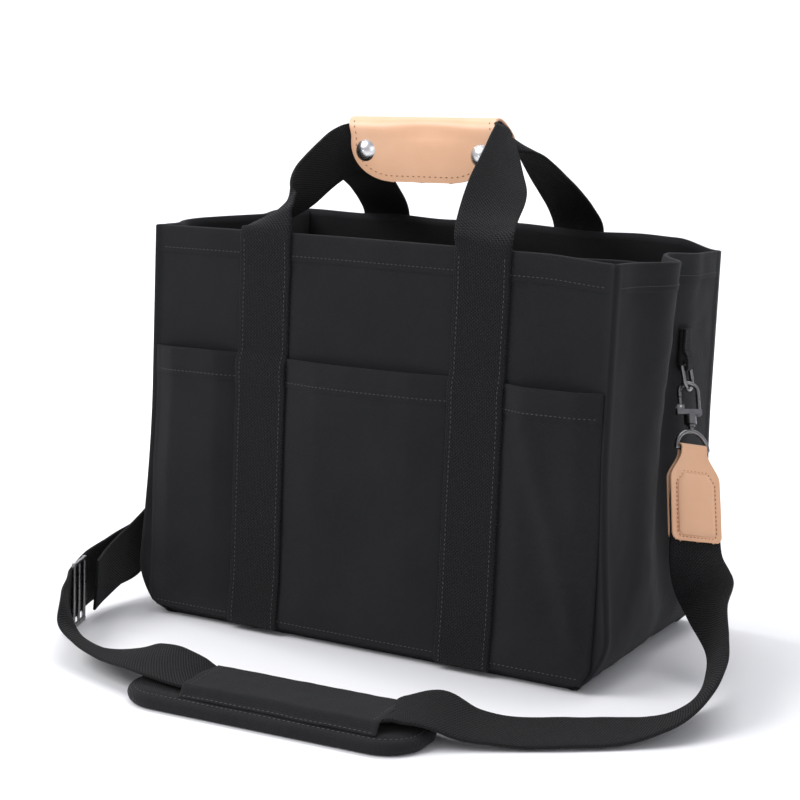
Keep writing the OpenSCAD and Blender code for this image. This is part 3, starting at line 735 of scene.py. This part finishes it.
# base board, a covered stiffener on the floor of the bag
board_x, board_y = 149.0, 92.0


def board_point(u, v):
    cx = clamp(abs(u) - (board_x - 12), 0, 12)
    cy = clamp(abs(v) - (board_y - 12), 0, 12)
    pull = max(0.0, sqrt(cx * cx + cy * cy) - 12)
    return (u - math.copysign(pull, u) * 0.7, v - math.copysign(pull, v) * 0.7,
            8.2 + 0.5 * wrinkle(u, v, 0, 70, 3) - 1.0 * (abs(u) > board_x - 0.5 or abs(v) > board_y - 0.5))


board = sheet_piece("base_board_cover", board_point, spread(-board_x, board_x, 40), spread(-board_y, board_y, 26),
                    2.0, [SHADED_INTERIOR_CANVAS], "bag", edge=0.5)
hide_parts("base_board")


def divider_point(x, z):
    y = -46 + 1.6 * wrinkle(x, 0, z, 70, 15.0) + 1.2 * sin(x / 60.0) * z / H
    y -= 0.8 * step(255, 256.5, z)
    top = 2.2 * wrinkle(x, 0, 0, 60, 8.0) * step(180, 270, z)
    return (x, y, z + top)


div_levels = spread(9, 252, 30) + [254.6, 255.4, 256.2, 257] + spread(260, 271, 4)
divider = sheet_piece("divider_cloth", divider_point, spread(-161.5, 161.5, 70), div_levels, 2.4, [SHADED_INTERIOR_CANVAS], "bag")
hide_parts("divider_panel")

# --------------------------------------------------------------------------- pockets

STRAP_X = 80.5
BACK_SHIFT = -20.0
POCKET_TOP = 192.0


def cell(x, a, b):
    if x <= a or x >= b:
        return 0.0
    return min(1.0, 1.6 * sin(pi * (x - a) / (b - a))) ** 0.9


def pocket_lift(x, shift):
    sew = 20
    return (cell(x, shift - STRAP_X + sew, shift + STRAP_X - sew)
            + cell(x, -164, shift - STRAP_X - sew) + cell(x, shift + STRAP_X + sew, 164))


def pocket_point(x, z, shift, back):
    lift = pocket_lift(x, shift)
    low = step(7, 26, z)
    out = 1.9 + lift * low * (3.4 + 1.6 * step(60, 150, z))
    gape = lift * step(150, POCKET_TOP, z) * (0.8 + 1.4 * step(90, 130, x))
    out += gape
    s = 51.0 if back else 41.0
    out += low * (1.5 * wrinkle(x, 0, z, 48, s) + 0.6 * wrinkle(x, 0, z, 16, s + 2)) * (0.25 + 0.75 * lift)
    if not back:
        # the soft diagonal crease that runs down the right cell
        line = x - (110 + (190 - z) * 0.30)
        out += 2.0 * bell(line, 0, 7) * step(20, 50, z) * (1 - step(150, 185, z)) * lift
        out -= 1.4 * bell(line, -14, 8) * step(20, 50, z) * (1 - step(150, 185, z)) * lift
    out += 0.8 * step(POCKET_TOP - 19.2, POCKET_TOP - 18.2, z)
    out = max(out, 1.7)
    y = -(HALF_D + 2.4 * bell(z, 12, 16) * 0.9 + out)
    top = POCKET_TOP + 1.0 - 2.0 * bell(x, 110, 60) * 0 + 1.0 * wrinkle(x, 0, 0, 60, s + 4)
    zz = z + (top - POCKET_TOP) * step(120, POCKET_TOP, z)
    edge = side_x(z) - 3.2
    xx = x / 166.0 * min(edge, 168.5)
    return (xx, y if not back else -y, zz)


def make_pocket(name, node, shift, back):
    zs = [7.0, 8.0] + spread(10.5, 170, 44) + [172.2, 172.8, 173.4, 174.2] + spread(176.5, POCKET_TOP, 6)
    xs = spread(-166, 166, 132)
    if back:
        xs = xs[::-1]
    ob = sheet_piece(name, lambda x, z: pocket_point(x, z, shift, back), xs, zs, 1.7, [CANVAS], "bag")
    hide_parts(node)
    return ob


make_pocket("front_pocket_cloth", "front_pocket", 0.0, False)
make_pocket("back_pocket_cloth", "back_pocket", BACK_SHIFT, True)

# stitching along the hems, just above their lower edges


def shell_line(side, t0, t1, z, n, off=0.15):
    out = []
    for t in spread(t0, t1, n):
        p = shell_point(side, t, z)
        q = shell_point(side, min(1, t + 0.004), z) - shell_point(side, max(0, t - 0.004), z)
        nor = Vector((q.y, -q.x, 0)).normalized()
        out.append((Vector((p.x, p.y, level_z(z, p.x, p.y))) + nor * off, nor))
    return out


hem_lines = [shell_line(side, 0.02, 0.98, H - HEM + 3.2, 120) for side in range(4)]


def pocket_line(z, shift, back):
    out = []
    for x in spread(-163, 163, 160):
        p = Vector(pocket_point(x, z, shift, back))
        out.append((p, Vector((0, 1 if back else -1, 0))))
    return out


hem_lines.append(pocket_line(POCKET_TOP - 15.6, 0.0, False))
hem_lines.append(pocket_line(POCKET_TOP - 15.6, BACK_SHIFT, True))
hem_lines.append(pocket_line(10.6, 0.0, False))
hem_lines.append(pocket_line(10.6, BACK_SHIFT, True))
stitches("hem_stitching", hem_lines, "bag", THREAD, pitch=3.1, length=2.0, radius=0.30)

# ------------------------------------------------------------- webbing straps and legs


def wall_y(x, z, back):
    """Outer face that the sewn webbing lies on."""
    if z < POCKET_TOP - 1:
        y = -pocket_point(x, z, BACK_SHIFT if back else 0.0, back)[1]
        return abs(y)
    return HALF_D + front_out(x if not back else x, z, back)


# Each strap is sewn up the wall at this distance from the middle
STRAP_X = 80.5


def sewn_rows(x0, back):
    rows = []
    sgn = 1 if back else -1
    for z in (5, 12, 24, 40, 60, 80, 100, 120, 140, 160, 172, 176, 188):
        y = max(wall_y(x0 + d, z, back) for d in (-12, 0, 12)) + 1.25
        rows.append([x0, sgn * y, z, 1, 0, 0])
    for z in (197, 210, 230, 250, 262, 272):
        y = max(wall_y(x0 + d, z, back) for d in (-12, 0, 12)) + 1.25
        rows.append([x0, sgn * y, z, 1, 0, 0])
    return rows


# Free webbing from the rim into the grip: rows of x, y, z, the direction across and, where it narrows,
# a width scale; then where it starts and ends following the handle, and how far its edges curl at the end
LEGS = {
    "front_right": (sewn_rows(STRAP_X, False) + [
        [80.3, -103.6, 282, 1, 0.02, 0], [77.8, -97, 290, 0.97, 0.2, 0], [75, -86, 299, 0.89, 0.42, 0],
        [72.3, -68, 315, 0.68, 0.73, 0], [67.8, -54, 328, 0.44, 0.9, 0, 0.84],
        [62.2, -40.5, 341, 0.28, 0.96, 0, 0.62],
        [57.2, -29, 350.5, 0, 1, 0, 0.46], [53.2, -23.5, 353.7, 0, 1, 0, 0.42],
        [46, -22, 353.9, 0, 1, 0, 0.5],
        [38, -22, 353.6, 0, 1, 0, 0.52]],
        (80, -99, 288), (62, -43, 338), 8),
    "front_left": (sewn_rows(-STRAP_X, False) + [
        [-80.3, -103.4, 281, 1, -0.08, 0], [-81, -98, 287, 0.85, -0.5, 0.12],
        [-80.5, -88, 291.5, 0.6, -0.78, 0.2, 0.96],
        [-79, -78, 296, 0.3, -0.9, 0.35, 0.9], [-74.5, -65, 308, 0, -0.6, 0.8, 0.9],
        [-69, -52, 320, 0, -0.35, 0.93, 0.9],
        [-63.5, -40, 329.5, 0, -0.15, 1, 0.9], [-57, -32.5, 335, 0.05, 0.05, 1, 0.86],
        [-49, -30.5, 337.5, 0, 0.15, 1, 0.8]],
        (-80, -99, 288), (-68, -48, 322), 0),
    "back_right": (sewn_rows(STRAP_X + BACK_SHIFT, True) + [
        [60.3, 104, 284, 1, 0, 0], [58.8, 93, 296, 1, -0.1, 0], [57, 70, 311, 0.95, -0.25, 0, 0.98],
        [57, 42, 325, 0.8, -0.5, 0, 0.93], [58, 16, 336, 0.55, -0.8, 0.1, 0.82],
        [55.5, -3, 343, 0.2, -0.95, 0.1, 0.68],
        [49, -14, 348, 0, -1, 0, 0.55], [40, -17, 349, 0, -1, 0, 0.5]],
        (60, 98, 288), (58, 14, 336), -8),
    "back_left": (sewn_rows(-STRAP_X + BACK_SHIFT, True) + [
        [-100.2, 104, 284, 1, 0.02, 0], [-99, 94, 294, 1, 0.12, 0], [-95, 72, 305, 0.97, 0.25, 0, 0.98],
        [-88, 42, 316, 0.9, 0.42, 0.1, 0.95], [-77, 14, 327, 0.72, 0.65, 0.2, 0.88],
        [-64, -4, 336, 0.4, 0.85, 0.3, 0.74],
        [-54, -13, 342, 0.1, 0.95, 0.3, 0.58], [-44, -16, 346, 0, 1, 0.2, 0.5]],
        (-100, 98, 288), (-77, 14, 328), 0),
}


def cup_of(depth):
    return lambda s, a: depth * a * a * step(0.935, 0.985, s)


SEAM_INSET = 16
sewn_count = len(sewn_rows(STRAP_X, False))
edge_lines = []
for key, (rows, start, end, depth) in LEGS.items():
    rows = [r + [1.0] if len(r) == 6 else r for r in rows]
    leg, _ = ribbon_piece("handle_webbing_" + key, rows, 38, 2.4, 6, None, cup=cup_of(depth), ripple=0.3,
                          seed=5.0 + len(key))
    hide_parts("strap_" + key, "leg_" + key)
    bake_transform(leg)
    out = Vector((0, 1 if "back" in key else -1, 0))
    sewn = smooth_route([r[:3] for r in rows[:sewn_count]], 3)
    for a in (-SEAM_INSET, SEAM_INSET):
        edge_lines.append([(Vector((p[0] + a, p[1], p[2])) + out * 1.25, out) for p in sewn])
stitches("strap_stitching", edge_lines, "bag", THREAD, pitch=3.2, length=2.2, radius=0.3)

# --------------------------------------------------------------------------- grip

GX, GY, GZ, GR = -1.0, -20.0, 343.0, 15.0
GRIP_HALF = 55.5


def arc_points(r, a, b, n):
    return [(r * cos(radians(t)), r * sin(radians(t))) for t in spread(a, b, n)]


def along_path(pts, s):
    """Point at length s along a list of 2D points."""
    run = 0.0
    for a, b in zip(pts, pts[1:]):
        d = math.dist(a, b)
        if run + d >= s or b is pts[-1]:
            t = (s - run) / d
            return (a[0] + (b[0] - a[0]) * t, a[1] + (b[1] - a[1]) * t)
        run += d


def path_length(pts):
    return sum(math.dist(a, b) for a, b in zip(pts, pts[1:]))


def on_grip(u, y, z, dent=0.0):
    """A point of the grip's cross-section, whose crown leans to the front and a little to the left."""
    high = max(0.0, z)
    y -= 0.5 * high * high / (high + 8)
    y += dent * 1.5 * bell(z, 6, 7) * (bell(u, 4, 24) - 0.5 * bell(u, -34, 14) - 0.3 * bell(u, 38, 12))
    return (GX + u - 3.5 * step(0, 15, z), GY + y, GZ + z + 1.2 * u / GRIP_HALF)


def leather_piece(name, pts, corner, wide, body, thick, out, dent=0.0, n_len=46, taper=None):
    """A leather band bent along pts (Y, Z about the grip's middle), with rounded lower corners."""
    total = path_length(pts)

    def place(u, s):
        y, z = along_path(pts, clamp(s, 0, total))
        return on_grip(u, y, z, dent)

    def width(s):
        half = GRIP_HALF - (taper(s / total) if taper else 0)
        left = total - s
        if left >= corner:
            return half
        k = 1 - left / corner
        return half - wide * (1 - sqrt(max(0.0, 1 - k * k)))

    rows = spread(0, total - corner, n_len) + [total - corner * (1 - sin(radians(a))) for a in spread(4, 90, 18)]
    us = [-1, -0.992, -0.975] + spread(-0.95, 0.95, 40) + [0.975, 0.992, 1]
    if out < 0:
        us.reverse()
    ob = sheet_piece(name, lambda u, s: place(u * width(s), s), us, rows, thick, [LEATHER, LEATHER_EDGE], body,
                     coords=lambda u, s: (u * GRIP_HALF, s), edge=0.3)

    def line(inset, first=6.0):
        half = [(-width(s) + inset, s) for s in spread(first, total - corner, 16)]
        for a in spread(4, 86, 16):
            s = total - inset - (corner - inset) * (1 - sin(radians(a)))
            half.append((-(GRIP_HALF - wide) - (wide - inset) * cos(radians(a)), s))
        out_line = []
        for u, s in half + [(-u, s) for u, s in half[::-1]]:
            p, q = Vector(place(u, s)), Vector(place(u, min(total, s + 0.5)))
            q0 = Vector(place(u, max(0, s - 0.5)))
            out_line.append((p, Vector((1, 0, 0)).cross((q - q0).normalized()) * out))
        return out_line

    return ob, line


flap_path = arc_points(GR, 99, 180, 22) + [(-GR, -10.0), (-GR, -20.0), (-GR + 0.4, -29.5)]
back_path = (arc_points(GR, 97, -10, 26)
             + [(14.4, -9.3), (12, -15.6), (9.8, -18.4), (7, -20.2), (3.5, -21), (0, -21.1), (-3.6, -20.9),
                (-6.8, -19.9), (-9.2, -17.8), (-10.3, -14.8), (-10.4, -9), (-10.4, -2.4)])
flap_leather, flap_line = leather_piece("grip_flap_leather", flap_path, 27, 34, "flap", 2.0, -1, dent=1.0)
back_leather, _ = leather_piece("grip_back_leather", back_path, 5, 5, "handle", 2.0, 1,
                                        taper=lambda t: 8.5 * step(0.62, 0.78, t))
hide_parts("grip_flap")
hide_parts("grip_leather")
stitches("flap_stitching", [flap_line(4.0)], "flap", TAN_THREAD, pitch=4.2, length=2.0, radius=0.36)
seam = [[(Vector(on_grip(s * 51.5, GR * cos(radians(t)), GR * sin(radians(t)))),
          Vector((0, cos(radians(t)), sin(radians(t))))) for t in spread(88, -8, 30)] for s in (-1, 1)]
stitches("grip_stitching", seam, "handle", TAN_THREAD, pitch=4.2, length=2.0, radius=0.36)


def arch_webbing(name, node, r, low, half):
    ob = sheet_piece(name, lambda u, t: on_grip(u, r * cos(radians(t)), r * sin(radians(t))), spread(-half, half, 30),
                     spread(180 + low, -low, 36), 2.2, [WEBBING], "handle",
                     coords=lambda u, t: (r * radians(t), u), edge=0.3)
    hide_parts(node)


arch_webbing("grip_webbing_front", "grip_webbing_outer", 12.6, 0, 54.5)
arch_webbing("grip_webbing_back", "grip_webbing_inner", 9.9, 10, 54.5)

# ------------------------------------------------------------------------- light, stage


def area_light(name, loc, target, size, power, color=(1, 1, 1)):
    data = bpy.data.lights.new(name, "AREA")
    data.shape = "RECTANGLE"
    data.size = size[0]
    data.size_y = size[1]
    data.energy = power
    data.color = color
    ob = bpy.data.objects.new(name, data)
    bpy.context.collection.objects.link(ob)
    ob.location = loc
    ob.rotation_euler = (Vector(target) - Vector(loc)).to_track_quat("-Z", "Y").to_euler()


def make_stage():
    rows = []
    for y, z in [(-4, 0), (0, 0), (2.2, 0), (2.9, 0.08), (3.4, 0.35), (3.7, 0.9), (3.8, 1.8), (3.8, 5)]:
        rows.append([(x * 1000, y * 1000, z * 1000) for x in (-6, -2, 2, 6)])
    b = Builder()
    b.grid(rows, [[(0, 0)] * 4 for _ in rows])
    me = bpy.data.meshes.new("floor")
    me.from_pydata([tuple(c * MM for c in v) for v in b.v], [], b.f)
    me.polygons.foreach_set("use_smooth", [True] * len(b.f))
    n = Nodes("floor", 0.7)
    grain = n.noise(n.place(), 6.0, 2.0)
    n.put(n.bsdf.inputs["Base Color"], n.ramp(grain, [(0.3, (0.865, 0.865, 0.88)), (0.7, (0.88, 0.88, 0.895))]))
    n.bsdf.inputs["Specular IOR Level"].default_value = 0.2
    me.materials.append(n.mat)
    ob = bpy.data.objects.new("floor", me)
    bpy.context.collection.objects.link(ob)


make_stage()
area_light("key", (-1.5, -1.9, 2.3), (0, 0, 0.12), (1.6, 1.6), 60)
area_light("top", (-0.1, 0.5, 2.6), (0, 0, 0.1), (2.2, 1.6), 36)
area_light("backdrop", (-2.6, 0.4, 2.4), (-1.6, 3.8, 1.2), (1.6, 1.6), 95)
area_light("fill", (1.6, -2.2, 1.0), (0, 0, 0.15), (1.2, 1.4), 7)
world = bpy.data.worlds.new("world")
bpy.context.scene.world = world
world.use_nodes = True
world.node_tree.nodes["Background"].inputs[0].default_value = (0.93, 0.94, 1.0, 1)
world.node_tree.nodes["Background"].inputs[1].default_value = 0.62
bpy.context.scene.view_settings.view_transform = "Standard"

# ------------------------------------------------------------------------- metal parts

for node in ("d_ring", "hook", "gate", "swivel", "strap_loop", "gate_pin"):
    for hand in ("_left", "_right"):
        for slot in bpy.data.objects[node + hand].material_slots:
            slot.material = BRIGHT_METAL if node == "gate_pin" else DARK_METAL
for node in ("slider_frame", "slider_bar", "snap_sockets", "snap_studs", "snap_rivets", "snap_caps"):
    for slot in bpy.data.objects[node].material_slots:
        slot.material = BRIGHT_METAL if node == "snap_caps" else DARK_METAL

# ------------------------------------------------------------------------- ring tabs

# The ring's bar stands this far out from the end wall, inside an eye folded in the tab
RING_STANDOFF, EYE = 4.8, 2.8
RING_Y, RING_Z = 38.0, 197.0
RING_X = gusset_x(RING_Y, RING_Z) + RING_STANDOFF
for side, sign in (("right", 1), ("left", -1)):
    fold = [(-EYE, 26), (-EYE, 18), (-EYE, 9)] + [(EYE * cos(radians(t)), EYE * sin(radians(t)))
                                                 for t in spread(180, 360, 6)]
    fold += [(EYE - 0.6, 6), (2.3 - EYE, 12), (2.3 - EYE, 19), (2.3 - EYE, 26)]
    rows = [[sign * (RING_X + a), RING_Y, RING_Z + h, 0, 1, 0] for a, h in fold]
    tab, _ = ribbon_piece("ring_tab_webbing_" + side, rows, 11, 2.0, 4, "bag", ripple=0.1)
    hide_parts("ring_tab_" + side)
    lines = [[(Vector((sign * (RING_X + 0.6), RING_Y + a, RING_Z + h)), Vector((sign, 0, 0)))
              for h in spread(13, 25, 6)] for a in (-3.8, 3.8)]
    stitches("ring_tab_stitching_" + side, lines, "bag", THREAD, pitch=2.4, length=1.7, radius=0.28)

# ------------------------------------------------------------------- leather strap end

TAB_AT = Vector((186.12, 18.42, 143.99))
TAB_X = Vector((0.622, 0.768, -0.150)).normalized()
TAB_D = Vector((0.2157, -0.3518, -0.9107)).normalized()
TAB_N = TAB_D.cross(TAB_X).normalized()
# Tab outline: how far down it reaches, and half its width at the neck and below the shoulders
TAB_LOW, NECK, TAB_HALF = 64.0, 9.8, 19.5


def on_tab(u, s, n):
    return TAB_AT + TAB_X * u + TAB_D * s + TAB_N * n


def tab_half(s):
    if s > TAB_LOW - 5:
        k = (s - TAB_LOW + 5) / 5
        return TAB_HALF - 5 * (1 - sqrt(max(0, 1 - k * k)))
    return NECK + 0.4 * step(0, 3, -s) + (TAB_HALF - NECK) * step(1, 22, s) ** 1.15


fold = [(2.9, s) for s in [TAB_LOW - 5 * (1 - sin(radians(a))) for a in spread(90, 0, 10)]]
fold += [(2.9, s) for s in spread(56, 4, 36)] + [(3.25 * cos(radians(t)), -3.25 * sin(radians(t)))
                                                 for t in spread(0, 180, 14)]
fold += [(-2.9, s) for s in spread(4, 56, 36)]
fold += [(-2.9, s) for s in [TAB_LOW - 5 * (1 - sin(radians(a))) for a in spread(0, 90, 10)]]


def tab_point(u, i):
    n, s = fold[int(i)]
    wave = 0.35 * wrinkle(u * 20, s, 0, 22, 6.0) * step(6, 16, s)
    press = -0.5 * bell(abs(u) * tab_half(s), 15.2, 1.3) * step(15, 18, s) if n > 0 else 0
    return on_tab(u * tab_half(s), s, n + wave + press)


tab_us = [-1, -0.985, -0.95] + spread(-0.9, 0.9, 36) + [0.95, 0.985, 1]
tab = sheet_piece("strap_end_leather", tab_point, tab_us, list(range(len(fold))), 1.5, [LEATHER, LEATHER_EDGE],
                  "bag", coords=lambda u, i: (u * 19.5, fold[int(i)][1]), edge=0.35)
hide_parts("tab_front", "tab_back")

PATCH_TOP, PATCH_LOW, PATCH_HALF = 17.5, 60.5, 14.4


def patch_half(s):
    if s < PATCH_TOP + 7:
        return 8.8 + (PATCH_HALF - 8.8) * (s - PATCH_TOP) / 7
    if s > PATCH_LOW - 4:
        k = (s - PATCH_LOW + 4) / 4
        return PATCH_HALF - 4 * (1 - sqrt(max(0, 1 - k * k)))
    return PATCH_HALF


def patch_point(u, s):
    end = min(s - PATCH_TOP, PATCH_LOW - s)
    side = (1 - abs(u)) * patch_half(s)
    rise = 1.5 * (1 - exp(-max(0, min(end, side)) / 1.5))
    return on_tab(u * patch_half(s), s, 3.1 + rise + 0.2 * wrinkle(u * 14, s, 0, 16, 9.0))


patch_rows = spread(PATCH_LOW, PATCH_LOW - 4, 8)[:-1] + spread(PATCH_LOW - 4, PATCH_TOP + 7, 34)[:-1]
patch_rows += spread(PATCH_TOP + 7, PATCH_TOP, 8)
patch = sheet_piece("strap_end_patch", patch_point, tab_us, patch_rows, 1.0, [LEATHER, LEATHER_EDGE], "bag",
                    coords=lambda u, s: (u * 14, s), edge=0.3)
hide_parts("tab_patch")
outline = [(-PATCH_HALF - 1, s) for s in spread(PATCH_TOP + 7, PATCH_LOW - 3, 20)]
outline += [(-PATCH_HALF + 3 - 4 * cos(radians(a)), PATCH_LOW - 3 + 4 * sin(radians(a))) for a in spread(15, 90, 5)]
right = [(-u, s) for u, s in outline[::-1]]
outline = outline + right + [(9.2, PATCH_TOP - 1), (-9.2, PATCH_TOP - 1), (-PATCH_HALF - 1, PATCH_TOP + 7)]
stitches("strap_end_stitching", [[(on_tab(u, s, 2.75), TAB_N) for u, s in outline]], "bag", TAN_THREAD,
         pitch=2.9, length=1.8, radius=0.34)

# ------------------------------------------------------------------- shoulder pad

PAD_AT = Vector((28, -248.5, 0))
PAD_TURN = Matrix.Rotation(radians(2.5), 3, "Z")
PAD_L, PAD_W, PAD_R = 198.0, 62.0, 27.0


def on_pad(x, y, z):
    return PAD_AT + PAD_TURN @ Vector((x, y, z))


def pad_outline(inset, n=26):
    pts = []
    r = max(PAD_R - inset, 2.0)
    ax, ay = PAD_L / 2 - inset - r, max(PAD_W / 2 - inset - r, 0.0)
    for qx, qy, a0 in ((1, 1, 0), (-1, 1, 90), (-1, -1, 180), (1, -1, 270)):
        for k in range(n):
            a = radians(a0 + 90 * k / n)
            pts.append((qx * ax + r * cos(a), qy * ay + r * sin(a)))
        if qx * qy > 0:
            pts += [(qx * ax * (1 - 2 * t), qy * (ay + r)) for t in spread(0, 1, 40)[1:-1]]
    return pts


def make_pad():
    rings = []
    profile = [(28.5, 0.35), (18, 0.3), (6, 0.35), (2.2, 0.7), (0.9, 1.9), (0.25, 3.6), (0.0, 5.0), (0.35, 6.4),
               (1.0, 7.6), (1.9, 8.5), (3.1, 9.0), (3.9, 8.9), (4.6, 9.2), (6.0, 9.9), (8.5, 10.4), (12, 10.7),
               (17, 10.9), (23, 11.0), (28.5, 11.05)]
    for inset, z in profile:
        ring = []
        for x, y in pad_outline(inset):
            soft = 0.55 * wrinkle(x, y, z, 30.0, 4.4) + 0.2 * wrinkle(x, y, z, 10.0, 8.4)
            lift = soft * step(1.0, 6.0, z)
            ring.append(tuple(on_pad(x, y, max(0.25, z + lift))))
        rings.append(ring)
    b = Builder()
    uv = [[(p[0], p[1]) for p in ring] for ring in rings]
    ids = b.grid(rings, uv, close_u=True)
    for ring, flip in ((ids[0], False), (ids[-1], True)):
        c = len(b.v)
        mid = [sum(b.v[i][k] for i in ring) / len(ring) for k in range(3)]
        b.v.append(tuple(mid))
        for j in range(len(ring)):
            tri = [ring[(j + 1) % len(ring)], ring[j], c]
            if flip:
                tri.reverse()
            b.quad(tri, [(b.v[i][0], b.v[i][1]) for i in tri])
    return b.done("shoulder_pad_cover", [CANVAS], "bag")


pad = make_pad()
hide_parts("shoulder_pad")
groove = [(on_pad(x, y, 9.25), Vector((0, 0, 1))) for x, y in pad_outline(3.9)]
stitches("shoulder_pad_stitching", [groove + groove[:1]], "bag", THREAD, pitch=3.2,
                      length=2.2, radius=0.3)

SLEEVE_MID, SLEEVE_L, SLEEVE_HALF = 11.0, 130.0, 25.4


def sleeve_point(x, v):
    across = abs(v)
    z = 11.3 + 6.2 * (1 - step(0.80, 1.0, across)) + 0.5 * (1 - across)
    z += 0.5 * wrinkle(x, v * 25, 0, 26, 12.0) + 0.25 * wrinkle(x, v * 25, 0, 9, 14.0)
    near = abs(x - SLEEVE_MID) - (SLEEVE_L / 2 - 5)
    z += 0.8 * step(0, 5, near) * (1 - across)
    y = v * (SLEEVE_HALF + 0.5 * wrinkle(x, 0, 0, 30, 17.0 if v > 0 else 18.0))
    return tuple(on_pad(x, y, z))


sleeve_vs = [-1, -0.985, -0.96, -0.93, -0.9, -0.87, -0.84, -0.8] + spread(-0.72, 0.72, 18)
sleeve_vs += [0.8, 0.84, 0.87, 0.9, 0.93, 0.96, 0.985, 1]
sleeve = sheet_piece("pad_sleeve_cloth", sleeve_point,
                     spread(SLEEVE_MID - SLEEVE_L / 2, SLEEVE_MID + SLEEVE_L / 2, 70), sleeve_vs, 1.3, [CANVAS],
                     "bag", coords=lambda x, v: (x, v * 27))
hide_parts("pad_sleeve")
lines = []
for v in (-0.975, 0.975):
    lines.append([(Vector(sleeve_point(x, v)) + Vector((0, 0, 0.1)), Vector((0, v, 1)))
                  for x in spread(SLEEVE_MID - 63, SLEEVE_MID + 63, 40)])
for x in (SLEEVE_MID - 61, SLEEVE_MID + 61):
    lines.append([(Vector(sleeve_point(x, v)), Vector((0, 0, 1))) for v in spread(-0.78, 0.78, 20)])
stitches("pad_sleeve_stitching", lines, "bag", THREAD, pitch=3.1, length=2.1, radius=0.3)
